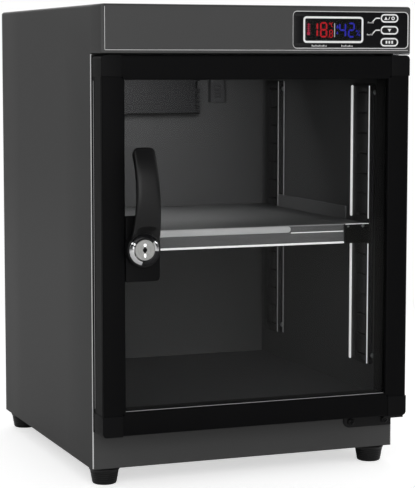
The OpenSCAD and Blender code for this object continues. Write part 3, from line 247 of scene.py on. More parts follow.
class Shape:
    """Points and faces of one piece, gathered in millimetres."""

    def __init__(self):
        self.points, self.faces, self.marks, self.size = [], [], [], 0

    def add(self, points, faces, mark=0):
        """Adds points and the faces that index them."""
        self.points.append(np.asarray(points, float).reshape(-1, 3))
        self.faces += [tuple(int(i) + self.size for i in f) for f in faces]
        self.marks += [mark] * len(faces)
        self.size += len(self.points[-1])
        return self

    def grid(self, points, round_columns=False, keep=None, mark=0):
        """A grid of rows and columns as quads, each (r, c), (r+1, c), (r+1, c+1),
        (r, c+1). keep is a table of the cells that stay."""
        rows, columns = points.shape[:2]
        span = columns if round_columns else columns - 1
        r, c = np.meshgrid(np.arange(rows - 1), np.arange(span), indexing="ij")
        if keep is not None:
            r, c = r[keep], c[keep]
        r, c = r.ravel(), c.ravel()
        d = (c + 1) % columns
        quads = np.stack([r * columns + c, (r + 1) * columns + c,
                          (r + 1) * columns + d, r * columns + d], 1)
        return self.add(points, quads.tolist(), mark)

    def skin(self, loops, mark=0):
        """Skins a stack of closed loops of equal count, with open ends."""
        return self.grid(np.asarray(loops, float), round_columns=True, mark=mark)

    def tube(self, loops, caps=(True, True), mark=0):
        """Skins a stack of closed loops, with a face over each wanted end."""
        self.skin(loops, mark)
        for loop, wanted in ((loops[0], caps[0]), (loops[-1], caps[1])):
            if wanted:
                self.add(loop, [range(len(loop))], mark)
        return self

    def cap(self, y, outline, holes=()):
        """A flat face at depth y over an outline with holes, cut into triangles."""
        loops = [at_y(o, y) for o in (outline, *holes)]
        flat_loops = [[Vector((p[0], p[2], 0)) for p in loop] for loop in loops]
        return self.add(np.concatenate(loops), tessellate_polygon(flat_loops))

    def box(self, x, y, z):
        """A box between two values on each axis, as a tube of four corners."""
        corners = np.array([[x[0], y[0]], [x[1], y[0]], [x[1], y[1]], [x[0], y[1]]])
        return self.tube([at_z(corners, z[0]), at_z(corners, z[1])])

    def piece(self, name, slot, *materials, sheet=0.0, **looks):
        """Makes the mesh, in metres in the model's frame, and dresses it. sheet thickens
        an open sheet inwards."""
        points = (np.concatenate(self.points) + SHIFT) * MM
        mesh = bpy.data.meshes.new(name)
        mesh.from_pydata(points.tolist(), [], self.faces)
        mesh.polygons.foreach_set("material_index", self.marks)
        work = bmesh.new()
        work.from_mesh(mesh)
        bmesh.ops.remove_doubles(work, verts=work.verts, dist=MERGE)
        bmesh.ops.dissolve_degenerate(work, edges=work.edges, dist=1e-7)
        if not sheet:
            bmesh.ops.recalc_face_normals(work, faces=work.faces)
        work.to_mesh(mesh)
        work.free()
        return dress(mesh, name, slot, materials, sheet=sheet, **looks)


def dress(mesh, name, slot, materials, body="cabinet", stands_for=(), soften=0.0,
          segments=2, sheet=0.0, smooth=38.0):
    """An object for a mesh, with its materials, modifiers, body and CAD nodes. slot is not
    used.
    soften rounds its edges, and an edge sharper than smooth degrees stays sharp."""
    mesh.polygons.foreach_set("use_smooth", [True] * len(mesh.polygons))
    mesh.set_sharp_from_angle(angle=math.radians(smooth))
    for m in materials:
        mesh.materials.append(m)
    made = bpy.data.objects.new(name, mesh)
    bpy.context.scene.collection.objects.link(made)
    if sheet:
        thick = made.modifiers.new("thickness", "SOLIDIFY")
        thick.thickness, thick.offset, thick.use_even_offset = sheet * MM, -1, True
    if soften:
        edge = made.modifiers.new("edges", "BEVEL")
        edge.width, edge.segments = soften * MM, segments
        edge.limit_method, edge.angle_limit = "ANGLE", math.radians(32)
        edge.use_clamp_overlap = False
    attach(made, body)
    if stands_for:
        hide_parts(*stands_for)
    return made


def eased_copy(node, slot, material, soften=0.3, **looks):
    """A copy of a CAD node with its triangles merged, its flat faces joined and its
    edges rounded by soften millimetres. It stands for the node."""
    mesh = cad_nodes[node].data.copy()
    mesh.materials.clear()
    work = bmesh.new()
    work.from_mesh(mesh)
    bmesh.ops.remove_doubles(work, verts=work.verts, dist=MERGE)
    bmesh.ops.dissolve_limit(work, angle_limit=math.radians(1), verts=work.verts,
                             edges=work.edges)
    work.to_mesh(mesh)
    work.free()
    mesh.polygons.foreach_set("material_index", [0] * len(mesh.polygons))
    dress(mesh, node + "_eased", slot, [material], stands_for=[node], soften=soften,
          **looks)


def coat(material, *names):
    """Gives CAD nodes that stay as they are their finish."""
    for name in names:
        mesh = cad_nodes[name].data
        mesh.materials.clear()
        mesh.materials.append(material)


def lathe_loops(profile, centre, place=at_y, count=48):
    """Loops of a turned form: at each (radius, place along the axis) a circle of that
    radius about the axis through centre, along y or, with at_z, along z."""
    return [place(circle(radius, *centre, count), along) for radius, along in profile]


def rod(shape, start, end, radius, count=14):
    """A round rod from start to end, which differ on one axis, its ends eased over 0.6
    of its radius."""
    start, end = np.array(start, float), np.array(end, float)
    axis = int(np.argmax(np.abs(end - start)))
    eased = np.sign(end[axis] - start[axis]) * 0.6 * radius
    u, v = [i for i in range(3) if i != axis]
    loops = []
    for along, share in ((start[axis], 0.5), (start[axis] + eased, 1),
                         (end[axis] - eased, 1), (end[axis], 0.5)):
        loop = np.full((count, 3), along)
        loop[:, [u, v]] = circle(share * radius, start[u], start[v], count)
        loops.append(loop)
    shape.tube(loops)


def ease(radius, steps=4):
    """Pairs (inset, setback) round a quarter circle, from the side face to the front."""
    a = np.linspace(0, np.pi / 2, steps + 1)
    return np.stack([radius * (1 - np.cos(a)), radius * (1 - np.sin(a))], 1)


def plate(width, height, radius, x, z, front, back, rim, shape=None, steps=6, holes=()):
    """A rounded rectangle as a plate from back to front in y, its front edge rounded by
    rim: at each (inset, setback) of ease the outline, drawn in by the inset, lies at
    front + setback. Corners of more than 1 mm draw in too. Holes go straight through."""
    radii = np.broadcast_to(np.asarray(radius, float), 4)

    def drawn_in(inset):
        """The outline, drawn in by the inset."""
        return rounded(width - 2 * inset, height - 2 * inset,
                       np.where(radii > 1, radii - inset, radii), x, z, steps)

    shape = shape or Shape()
    shape.skin([at_y(drawn_in(0.0), back)]
               + [at_y(drawn_in(i), front + s) for i, s in ease(rim)])
    shape.cap(front, drawn_in(rim), holes)
    shape.cap(back, drawn_in(0.0), holes)
    for hole in holes:
        shape.skin([at_y(hole, front), at_y(hole, back)])
    return shape


def screw_head(shape, x, y, z, radius, height, side=-1):
    """A pan head with a cross recess, on a face at depth y and looking to side: the dome
    is height * sqrt(1 - 0.75 (r / R)^3), less a recess that deepens towards the middle
    where |x| or |z| is within a sixth of the radius."""
    rings = np.array([0.0, 0.1, 0.16, 0.22, 0.34, 0.46, 0.56, 0.62, 0.72, 0.84, 0.93, 1.0])
    a = np.arange(48) * 2 * np.pi / 48
    r, t = np.meshgrid(rings, a, indexing="ij")
    u, v = r * np.cos(t), r * np.sin(t)
    dome = np.sqrt(np.clip(1 - 0.75 * r ** 3, 0, 1))
    arm = np.minimum(np.abs(u), np.abs(v))
    cut = np.clip((0.17 - arm) / 0.05, 0, 1) * np.clip((0.6 - r) / 0.08, 0, 1)
    lift = height * (dome - 0.45 * cut)
    points = np.stack([x + radius * u, y + side * lift, z + radius * v], 2)
    rim = at_y(points[-1][:, [0, 2]], y)
    shape.skin([*points, rim]).add(rim, [range(48)])


# Body skin

HALF_W, BODY_D, BODY_H = 150.0, 304.0, 417.0
HOOD_Y, HOOD_Z, SHEET, BEND = -30.3, 374.2, 1.2, 3.0
MOUTH_X, FLOOR_Z, CEILING_Z = 135.5, 48.0, 358.0


def cabinet_wrap():
    """The sheet of both sides and the top. Its outline runs up the left side, over a
    3 mm bend, across and down, carried in y from the hood's front or the body's front."""
    turn = np.linspace(np.pi, np.pi / 2, 9)
    left = np.array([[-HALF_W, z] for z in (0, 60, 140, 220, 300, HOOD_Z, 400)])
    left_bend = np.stack([BEND - HALF_W + BEND * np.cos(turn),
                          BODY_H - BEND + BEND * np.sin(turn)], 1)
    half = np.concatenate([left, left_bend, [[-70.0, BODY_H]]])
    outline = np.concatenate([half, half[::-1] * [-1, 1]])
    depths = np.array([HOOD_Y + SHEET, 0.6, SHEET, 80, 160, 240, BODY_D])
    grid = np.zeros((len(outline), len(depths), 3))
    grid[..., 0], grid[..., 2] = outline[:, :1], outline[:, 1:]
    grid[..., 1] = depths
    middle_z = (outline[1:, 1] + outline[:-1, 1]) / 2
    middle_y = (depths[1:] + depths[:-1]) / 2
    keep = (middle_z[:, None] > HOOD_Z) | (middle_y[None, :] > SHEET)
    Shape().grid(grid, keep=keep).piece("cabinet_wrap", "shell_paint", paint, sheet=SHEET,
                                        stands_for=["outer_wrap"], soften=0.25)


def cabinet_face():
    """The front plate round the mouth, its outer edges rounded into the sides, with the
    mouth's side edges folded back."""
    mouth = rounded(2 * MOUTH_X, CEILING_Z - FLOOR_Z, 0.8, 0, (CEILING_Z + FLOOR_Z) / 2, 3)
    shape = plate(2 * HALF_W, HOOD_Z, 0.3, 0, HOOD_Z / 2, 0, SHEET, 1.1, steps=3,
                  holes=[mouth])
    for side in (-1, 1):
        x = sorted((side * MOUTH_X, side * (MOUTH_X + SHEET)))
        shape.box(x, (0.9, 3.5), (FLOOR_Z + 0.2, CEILING_Z - 0.2))
    shape.piece("cabinet_face", "shell_paint", paint, stands_for=["face_frame"], smooth=30)


PANEL_X, PANEL_Z, PANEL_W, PANEL_H = 89.5, 395.5, 115.2, 32.4


def hood_face():
    """The hood's front: a rounded rim, a 3.3 mm border at the left and below with a
    groove inside it, a panel 0.25 mm proud, and a chamfer round the controls' recess in
    pale paint, a painted highlight."""
    def rim(inset):
        """The hood's outline, drawn in by the inset."""
        corner = BEND - inset * 0.8
        return rounded(2 * (HALF_W - inset), BODY_H - HOOD_Z - 2 * inset,
                       (corner, corner, 0.3, 0.3), 0, (BODY_H + HOOD_Z) / 2)

    def proud(inset):
        """The raised panel's outline, drawn in by the inset."""
        return rounded(295.3 - 2 * inset, 38.2 - 2 * inset, 0.6, 0.95,
                       HOOD_Z + 3.3 + 19.1)

    def recess(grow):
        """The outline of the controls' recess, let out by grow."""
        return rounded(PANEL_W + 2 * grow, PANEL_H + 2 * grow, 3.5 + grow, PANEL_X,
                       PANEL_Z)

    front, inside, groove = HOOD_Y + 0.25, HOOD_Y + SHEET, HOOD_Y + 0.6
    shape = Shape()
    shape.skin([at_y(rim(0), inside)] + [at_y(rim(i), front + s) for i, s in ease(0.95)]
               + [at_y(proud(-0.35), front), at_y(proud(-0.1), groove),
                  at_y(proud(0.1), groove), at_y(proud(0.5), HOOD_Y)])
    shape.cap(HOOD_Y, proud(0.5), [recess(0.7)])
    foot = at_y(recess(0.0), HOOD_Y + 0.55)
    # the chamfer takes the pale paint, a painted highlight
    shape.skin([at_y(recess(0.7), HOOD_Y), foot], mark=1)
    shape.skin([foot, at_y(recess(0.0), inside)])
    shape.cap(inside, rim(0), [recess(0.0)])
    shape.piece("hood_face", "shell_paint", paint, painted_highlight_paint, stands_for=["hood_front"],
                smooth=30)
    Shape().box((-148.8, 148.8), (inside, SHEET), (HOOD_Z, HOOD_Z + SHEET)).piece(
        "hood_underside", "shell_paint", paint, soften=0.3)


def folded_edges():
    """The crests of the folds at the body's front edges and the hood's, in pale paint as
    painted highlights: quarter-round crests, tangent to both faces, and fine ones in the
    groove."""
    shape = Shape()
    for side in (-1, 1):
        x, y = side * (HALF_W - 1.0), 1.0
        rod(shape, (x, y, 0.6), (x, y, HOOD_Z - 0.4), 1.0)
        x, y = side * (HALF_W - 0.75), HOOD_Y + 1.0
        rod(shape, (x, y, HOOD_Z + 0.4), (x, y, BODY_H - 2.6), 0.6)
    x, y, z = -146.4, HOOD_Y + 0.28, HOOD_Z + 2.9
    rod(shape, (x, y, z + 0.3), (x, y, 414.5), 0.26)
    rod(shape, (x, y, z), (147.5, y, z), 0.26)
    shape.piece("folded_edge_painted_highlights", "shell_paint", painted_highlight_paint, smooth=60)


cabinet_wrap()
cabinet_face()
hood_face()
folded_edges()
coat(paint, "bottom_panel", "back_panel")
coat(liner_paint_lightened, "liner_wrap", "liner_floor", "liner_ceiling")


# Control panel

BEZEL_Y, INK = -29.5, 0.06
DISPLAY_X, DISPLAY_Z, DISPLAY_W, DISPLAY_H = 71.9, 395.65, 56.4, 20.1
KEY_X, KEY_W, KEY_H = 128.3, 18.8, 8.5
KEY_ZS = (406.4, 395.5, 384.6)


def flat(shape, outline, y, mark=0, thick=INK):
    """A flat form of an outline, thick millimetres behind y."""
    shape.tube([at_y(outline, y), at_y(outline, y + thick)], mark=mark)


def bar(shape, ends, width, y, mark=0):
    """A flat bar from one point to the other, with pointed ends half its width long."""
    a, b = np.array(ends, float)
    along = (b - a) / np.linalg.norm(b - a)
    across = np.array([-along[1], along[0]]) * width / 2
    tip = along * width / 2
    flat(shape, np.array([a, a + tip + across, b - tip + across, b, b - tip - across,
                          a + tip - across]), y, mark)


def ring(shape, outer, inner, y, mark=0):
    """A flat ring between two outlines of equal count."""
    shape.skin([at_y(outer, y + INK), at_y(outer, y), at_y(inner, y), at_y(inner, y + INK),
                at_y(outer, y + INK)], mark)


SEGMENTS = {"1": "bc", "2": "abged", "4": "fgbc", "8": "abcdefg"}


def digit(shape, figure, x0, x1, z0, z1, width, y, mark=0):
    """A seven-segment figure in the box from x0, z0 to x1, z1."""
    h = width / 2
    left, right, low, high = x0 + h, x1 - h, z0 + h, z1 - h
    mid = (low + high) / 2
    places = {
        "a": ((left, high), (right, high)), "b": ((right, mid), (right, high)),
        "c": ((right, low), (right, mid)), "d": ((left, low), (right, low)),
        "e": ((left, low), (left, mid)), "f": ((left, mid), (left, high)),
        "g": ((left, mid), (right, mid)),
    }
    for name in SEGMENTS[figure]:
        a, b = np.array(places[name])
        gap = (b - a) / np.linalg.norm(b - a) * 0.18
        bar(shape, (a + gap, b - gap), width, y, mark)


def marks(shape, x, z, width, height, count, y):
    """A row of short upright marks, as on a scale, every third one full height."""
    for i, px in enumerate(np.linspace(x - width / 2, x + width / 2, count)):
        tall = height * (1.0 if i % 3 == 0 else 0.62)
        flat(shape, rounded(width / count * 0.52, tall, 0.12, px, z - (height - tall) / 2,
                            1), y)


def control_panel():
    """The gloss bezel with its openings, the white print on it, the keys and the
    display."""
    holes = [rounded(DISPLAY_W, DISPLAY_H, 1.6, DISPLAY_X, DISPLAY_Z)]
    wide, tall = KEY_W + 0.2, KEY_H + 0.2
    holes += [rounded(wide, tall, tall / 2 - 0.01, KEY_X, z, 8) for z in KEY_ZS]
    plate(PANEL_W - 0.2, PANEL_H - 0.2, 3.4, PANEL_X, PANEL_Z, BEZEL_Y, -27.0, 0.35,
          holes=holes).piece("panel_bezel", "bezel_plastic", gloss_black,
                             stands_for=["control_bezel"], smooth=30)
    ink = Shape()
    y = BEZEL_Y - 0.05
    ring(ink, rounded(60.1, 23.9, 3.2, DISPLAY_X, DISPLAY_Z),
         rounded(DISPLAY_W + 0.1, DISPLAY_H + 0.1, 1.6, DISPLAY_X, DISPLAY_Z), y)
    for z, label_x in ((406.4, 109.4), (395.5, 108.6)):
        bar(ink, ((119.4, z), (114.0, z)), 1.15, y)
        bar(ink, ((114.7, z + 0.2), (111.2, z - 3.4)), 1.05, y)
        marks(ink, label_x, z - 3.9, 5.2, 1.5, 5, y)
    marks(ink, 57.7, 381.2, 14.0, 1.6, 12, y)
    marks(ink, 85.6, 381.2, 10.5, 1.6, 9, y)
    ink.piece("panel_print", "bezel_plastic", white_ink)
    for name, z in zip(("up", "down", "set"), KEY_ZS):
        key(name, z)
    display()


def key(name, z):
    """An oval key cap with a crowned edge, its white border and its symbol."""
    cap_y = -30.1
    cap = plate(KEY_W, KEY_H, KEY_H / 2 - 0.01, KEY_X, z, cap_y, -26.9, 0.3, steps=8)
    y = cap_y - 0.04
    ring(cap, rounded(KEY_W - 0.7, KEY_H - 0.7, 3.88, KEY_X, z, 8),
         rounded(KEY_W - 3.3, KEY_H - 3.3, 2.58, KEY_X, z, 8), y, 1)
    if name == "up":
        triangle = np.array([[-5.4, -1.4], [-2.0, -1.4], [-3.7, 1.5]])
        flat(cap, triangle + [KEY_X, z], y, 1)
        bar(cap, ((KEY_X - 1.0, z - 1.5), (KEY_X + 0.4, z + 1.6)), 0.7, y, 1)
        ring(cap, circle(1.75, KEY_X + 3.6, z, 24), circle(0.85, KEY_X + 3.6, z, 24), y, 1)
    elif name == "down":
        triangle = np.array([[-1.9, 1.3], [1.9, 1.3], [0, -1.7]])
        flat(cap, triangle + [KEY_X, z], y, 1)
    else:
        for dx in (-2.9, 0, 2.9):
            flat(cap, rounded(1.7, 2.6, 0.3, KEY_X + dx, z, 2), y, 1)
    cap.piece("key_cap_" + name, "module_plastic", dark_steel, white_ink,
              body=name + "_key", stands_for=["key_" + name], smooth=30)


def display():
    """The display behind its smoked window: a dark face with raised glowing segments.
    Each figure lies 0.75 mm to the right of where it is seen on the hood's plane,
    because it is that much deeper."""
    face_y = -28.3
    back = Shape()
    flat(back, rounded(DISPLAY_W + 1.6, DISPLAY_H + 1.6, 1.6, DISPLAY_X, DISPLAY_Z),
         face_y, 0, 1.2)
    back.piece("display_face", "module_plastic", led_face)
    lit = Shape()
    y, z0, z1 = face_y - 0.05, 388.6, 402.6
    red, blue, pink, white = range(4)
    for figure, x0, x1, low, high, width, colour in (
            ("1", 49.1, 56.3, z0, z1, 1.6, red), ("8", 58.2, 65.5, z0, z1, 1.6, red),
            ("8", 67.3, 71.2, z0 - 0.2, 395.8, 0.95, red),
            ("4", 77.2, 84.5, z0, z1 - 0.4, 1.6, blue),
            ("2", 86.2, 93.2, z0, z1 - 0.3, 1.6, blue)):
        digit(lit, figure, x0, x1, low, high, width, y, colour)
    for x, z, inner, colour in ((68.0, 401.2, 0.45, red), (95.2, 394.6, 0.4, blue),
                                (97.8, 391.0, 0.4, blue)):
        ring(lit, circle(0.95, x, z, 16), circle(inner, x, z, 16), y, colour)
    for ends, width, colour in ((((71.2, 401.9), (69.8, 401.9)), 0.7, red),
                                (((69.6, 401.75), (69.6, 398.45)), 0.7, red),
                                (((69.8, 398.3), (71.2, 398.3)), 0.7, red),
                                (((94.8, 390.3), (98.2, 395.4)), 0.6, blue)):
        bar(lit, ends, width, y, colour)
    flat(lit, rounded(0.9, 0.9, 0.2, 66.4, z0 + 0.5, 2), y, red)
    drop = np.array([[0, 2.3], [1.3, -0.1], [1.45, -1.0], [0.9, -2.0], [0, -2.35],
                     [-0.9, -2.0], [-1.45, -1.0], [-1.3, -0.1]])
    for scale, z in ((0.8, 398.6), (0.6, 393.0)):
        flat(lit, drop * scale + [75.6, z], y, blue)
    stem = np.array([[-0.55, -3.0], [0.55, -3.0], [0.55, 4.4], [-0.55, 4.4]])
    flat(lit, stem + [46.9, 397.0], y, pink)
    flat(lit, circle(1.7, 46.9, 392.3, 20), y, pink)
    for z in (394.8, 396.6, 398.4, 400.2):
        bar(lit, ((44.9, z), (46.2, z)), 0.6, y, pink)
        bar(lit, ((47.6, z), (48.9, z)), 0.6, y, pink)
    flat(lit, rounded(0.85, 12.6, 0.2, 72.8, 395.3, 2), y, white)
    lit.points = [p + [0.75, 0, 0] for p in lit.points]
    lit.piece("display_segments", "smoked_window", red_led, blue_led, pink_led, white_led)
    plate(DISPLAY_W - 0.1, DISPLAY_H - 0.1, 1.55, DISPLAY_X, DISPLAY_Z, -29.4, -28.8,
          0.12).piece("display_glass", "smoked_window", smoke,
                      stands_for=["display_window"], smooth=30)


control_panel()
coat(led_face, "display_module")
coat(board_green, "control_board")
coat(dark_steel, "key_switches")
coat(zinc, "board_screws")


# Door

DOOR_X, DOOR_Z0, DOOR_Z1, DOOR_BACK = 149.9, 34.9, 372.7, -4.8
CORNER = 18.9


def door_section():
    """Section of a door profile, from its outer face inwards and from front to back, with
    rounded front edges, two flutes in the outer face and the pane's groove."""
    front, width = -29.7, 21.2
    outer = ease(0.9)[::-1] * [1, 1] + [0, front]
    inner = [width, front] + ease(1.4, 5)[::-1] * [-1, 1]
    rest = [(width, -26.9), (18.0, -26.9), (18.0, -22.7), (width, -22.7),
            (width, DOOR_BACK - 0.5), (width - 0.5, DOOR_BACK), (0.5, DOOR_BACK),
            (0, DOOR_BACK - 0.5)]
    for y in (-7.2, -26.2):
        rest += [(0, y), (0.45, y - 0.35), (0.45, y - 0.95), (0, y - 1.3)]
    return np.concatenate([outer[::-1], inner, rest])


def door_profiles():
    """Each profile is the door section carried straight between two corner blocks."""
    across, depth = door_section().T
    reach, edge = DOOR_X - CORNER, DOOR_X - 0.6
    for name, start, way in (("stile_left", -edge, 1), ("stile_right", edge, -1),
                             ("rail_bottom", DOOR_Z0 + 0.6, 1),
                             ("rail_top", DOOR_Z1 - 0.6, -1)):
        inwards = start + way * across
        if name.startswith("stile"):
            outline = np.stack([inwards, depth], 1)
            loops = [at_z(outline, z) for z in (DOOR_Z0 + CORNER, DOOR_Z1 - CORNER)]
        else:
            outline = np.stack([depth, inwards], 1)
            loops = [at_x(outline, x) for x in (-reach, reach)]
        Shape().tube(loops).piece("door_" + name, "door_profile", door_black,
                                  body="door", stands_for=[name], smooth=30)
    blocks = Shape()
    x, low, high = DOOR_X - CORNER / 2, DOOR_Z0 + CORNER / 2, DOOR_Z1 - CORNER / 2
    for i, centre in enumerate(((x, high), (-x, high), (-x, low), (x, low))):
        radii = [0.4] * 4
        radii[i] = 4.0
        plate(CORNER, CORNER, radii, *centre, -30.3, DOOR_BACK, 0.5, blocks)
    blocks.piece("door_corner_blocks", "corner_plastic", corner_black, body="door",
                 stands_for=["door_corners"], smooth=30)


def door_seal():
    """A bulb gasket: its section, a foot 6 mm wide with a bulb ahead of it and a black wiper
    lip over the gap outside, a dark sheet that paints the shade in that gap, is carried round
    the door with mitred corners. On the hinge side the lip stays within 145 mm of the middle,
    to swing clear."""
    a = np.linspace(-0.35, np.pi + 0.35, 15)
    bulb = np.stack([3.0 + 2.3 * np.cos(a), 2.2 + 2.25 * np.sin(a)], 1)
    # the lip is a black sheet over the gap: painted shade in the gap
    shade_lip_with_foot = [(-0.2, 2.2), (-6.1, 4.4), (-6.1, 3.7), (-0.6, 0.9), (0.0, 0.9),
                    (0.0, 0.0), (6.0, 0.0), (6.0, 0.9)]
    section = np.concatenate([bulb, shade_lip_with_foot]) + [0, DOOR_BACK]
    inset = 6.4 + section[:, 0]
    half, mid, tall = DOOR_X - inset, (DOOR_Z0 + DOOR_Z1) / 2, (DOOR_Z1 - DOOR_Z0) / 2
    loops = []
    for sx, sz in ((-1, -1), (1, -1), (1, 1), (-1, 1), (-1, -1)):
        x = np.minimum(half, 145.0) if sx > 0 else -half
        loops.append(np.stack([x, section[:, 1], mid + sz * (tall - inset)], 1))
    Shape().skin(loops).piece("door_seal", "seal_rubber", seal, body="door",
                              stands_for=["door_gasket"], smooth=40)


def stile_painted_highlights():
    """Painted highlights in a faintly glowing grey: rods on the rear edges of each upright
    profile, inside and outside, a fainter one on the edge of its glazing groove, and one on
    the glazing bead's edge along the window's foot."""
    shape = Shape()
    low, high = DOOR_Z0 + 22.5, DOOR_Z1 - 22.5
    for side in (-1, 1):
        for x, y, radius in ((128.75, -5.4, 0.5), (128.8, -21.8, 0.3), (149.05, -5.6, 0.45)):
            rod(shape, (side * x, y, low), (side * x, y, high), radius)
    rod(shape, (-127.6, -26.6, 57.1), (127.6, -26.6, 57.1), 0.28)
    shape.piece("stile_painted_highlights", "door_profile", dim_highlight_paint, body="door", smooth=60)


door_profiles()
door_seal()
stile_painted_highlights()
coat(pane, "door_glass")


# Lock and lever

LOCK = (-114.1, 202.6)


def cut_away(target, cutter):
    """Cuts one piece's mesh out of another's and removes the cutter."""
    cut = target.modifiers.new("cut", "BOOLEAN")
    cut.operation, cut.solver, cut.object = "DIFFERENCE", "EXACT", cutter
    graph = bpy.context.evaluated_depsgraph_get()
    solid = bpy.data.meshes.new_from_object(target.evaluated_get(graph))
    target.modifiers.clear()
    target.data = solid
    solid.polygons.foreach_set("use_smooth", [True] * len(solid.polygons))
    solid.set_sharp_from_angle(angle=math.radians(35))
    bpy.data.objects.remove(cutter)


def lock_plate():
    """The black plate under the lever, rounded at its free corners."""
    plate(32, 58.6, (4, 0.5, 0.5, 4), -112.0, LOCK[1], -30.3, -26.8, 0.6).piece(
        "lever_plate", "lock_black", corner_black, body="door", stands_for=["lock_plate"],
        smooth=30)


def lever():
    """The lever: a rounded section whose half width is (20 + 6 (1 - t)^2) / 2, carried
    up an arc of 77.46 mm radius from the boss to the tip, with round tip corners; and
    the boss with a collar, turned about the lock's axis."""
    tip_z, root_z, mid_z, centre_y, radius, tip_r = 293.0, 205.0, 247.8, 25.96, 77.46, 4
    outer_r, tip_start = radius + 2.5, tip_z - tip_r
    zs = np.concatenate([
        np.linspace(root_z, tip_start, 40),
        tip_z - tip_r * (1 - np.sin(np.linspace(0.12, np.pi / 2, 9)))])
    t = np.clip((zs - 211.6) / (tip_start - 211.6), 0, 1)
    over = np.clip(zs - tip_start, 0, tip_r)
    half = (20 + 6 * (1 - t) ** 2) / 2 - tip_r + np.sqrt(tip_r ** 2 - over ** 2)
    thick = 5 + 4 * t ** 2 - 1.6 * (over / tip_r) ** 2
    lean = np.arcsin((zs - mid_z) / outer_r)[:, None]
    a = np.linspace(0, 2 * np.pi, 41)[:-1]
    across, out = (np.sign(w) * np.abs(w) ** 0.34 for w in (np.cos(a), np.sin(a)))
    r = outer_r - 1.2 * (over[:, None] / tip_r) ** 3 - thick[:, None] / 2 * (1 - out)
    x = LOCK[0] + half[:, None] * across
    arm = Shape().tube(np.stack([x, centre_y - r * np.cos(lean),
                                 mid_z + r * np.sin(lean)], 2)).piece(
        "lever_arm", "lock_black", lever_black, body="handle", stands_for=["handle_lever"],
        smooth=50)
    cup = [(0.01, -39.9), (14.9, -39.9), (14.9, -42.0), (21.5, -49.6), (24, -62),
           (0.01, -62)]
    dish = Shape().tube(lathe_loops(cup, LOCK, count=96)).piece(
        "lever_cup", "lock_black", lever_black, body="handle")
    cut_away(arm, dish)
    boss = [(6.2, -36), (6.2, -30.6), (14.7, -30.6), (15.5, -31.4), (15.5, -38.6),
            (15.2, -39.4), (14.6, -39.8), (14.5, -40.2), (14.2, -40.2), (14.2, -38.0),
            (12.1, -38.0), (12.1, -34.0), (6.2, -34.0), (6.2, -36)]
    Shape().skin(lathe_loops(boss, LOCK, count=64)).piece(
        "lever_boss", "lock_black", lever_black, body="handle", smooth=35)


def lock_cylinder():
    """The flange with a rolled edge, chrome in three sectors of its turn in degrees
    and gloss black between them as a painted dark reflection, and the satin plug whose face
    runs from its rim to the keyway's outline, loop by loop, with a glowing painted highlight
    over and under the keyway."""
    profile = [(9.4, -36.0), (9.4, -41.3), (9.6, -41.65), (10.1, -41.85), (10.7, -41.9),
               (11.3, -41.75), (12.6, -41.15), (13.3, -40.75), (13.8, -40.3),
               (14.0, -39.9), (12.0, -39.9), (12.0, -33.9), (9.4, -33.9), (9.4, -36.0)]
    flange = Shape().skin(lathe_loops(profile, LOCK, count=120))
    turn = 3 * np.arange(120) + 1.5
    # chrome sectors and gloss black ones between them: a painted reflection of light and dark
    lit = (turn < 39) | ((turn > 147) & (turn < 156)) | ((turn > 162) & (turn < 258))
    dark = ~(lit | (turn > 354))
    flange.marks = np.tile(dark.astype(int), len(profile) - 1).tolist()
    flange.piece("lock_ring", "lock_chrome", chrome, gloss_black, body="handle",
                 stands_for=["lock_barrel"], smooth=25)
    count, face_y, floor_y = 64, -42.0, -41.75
    a = np.arange(count) * 2 * np.pi / count
    c, s = np.cos(a), np.sin(a)
    reach = np.maximum(1.0 / np.maximum(np.abs(c) / 0.75, np.abs(s) / 2.7), 2.0)
    keyway = np.stack([LOCK[0] + reach * c, LOCK[1] + reach * s], 1)
    loops = lathe_loops([(9.2, -36.0), (9.2, -41.7), (9.0, face_y), (8.3, face_y),
                         (5.6, face_y), (5.3, floor_y)], LOCK, count=count)
    shape = Shape().tube([*loops, at_y(keyway, floor_y)], caps=(True, False))
    shape.tube([at_y(keyway, floor_y), at_y(keyway, -38.5)], caps=(False, True), mark=1)
    # glowing marks over and under the keyway: painted highlights
    for dz, wide, tall in ((4.3, 2.5, 2.7), (-4.9, 1.9, 3.4)):
        flat(shape, rounded(wide, tall, 0.8, LOCK[0], LOCK[1] + dz, 3), -42.1, 2, 0.4)
    shape.piece("lock_plug_face", "lock_chrome", satin_chrome, dark_steel, glowing_highlight_paint,
                body="plug", stands_for=["lock_plug"], smooth=25)


lock_plate()
lever()
lock_cylinder()
coat(dark_steel, "lock_washer")
coat(zinc, "lock_nut", "lock_spindle", "latch_cam", "cam_screw", "strike_plate")


# Uprights and shelf


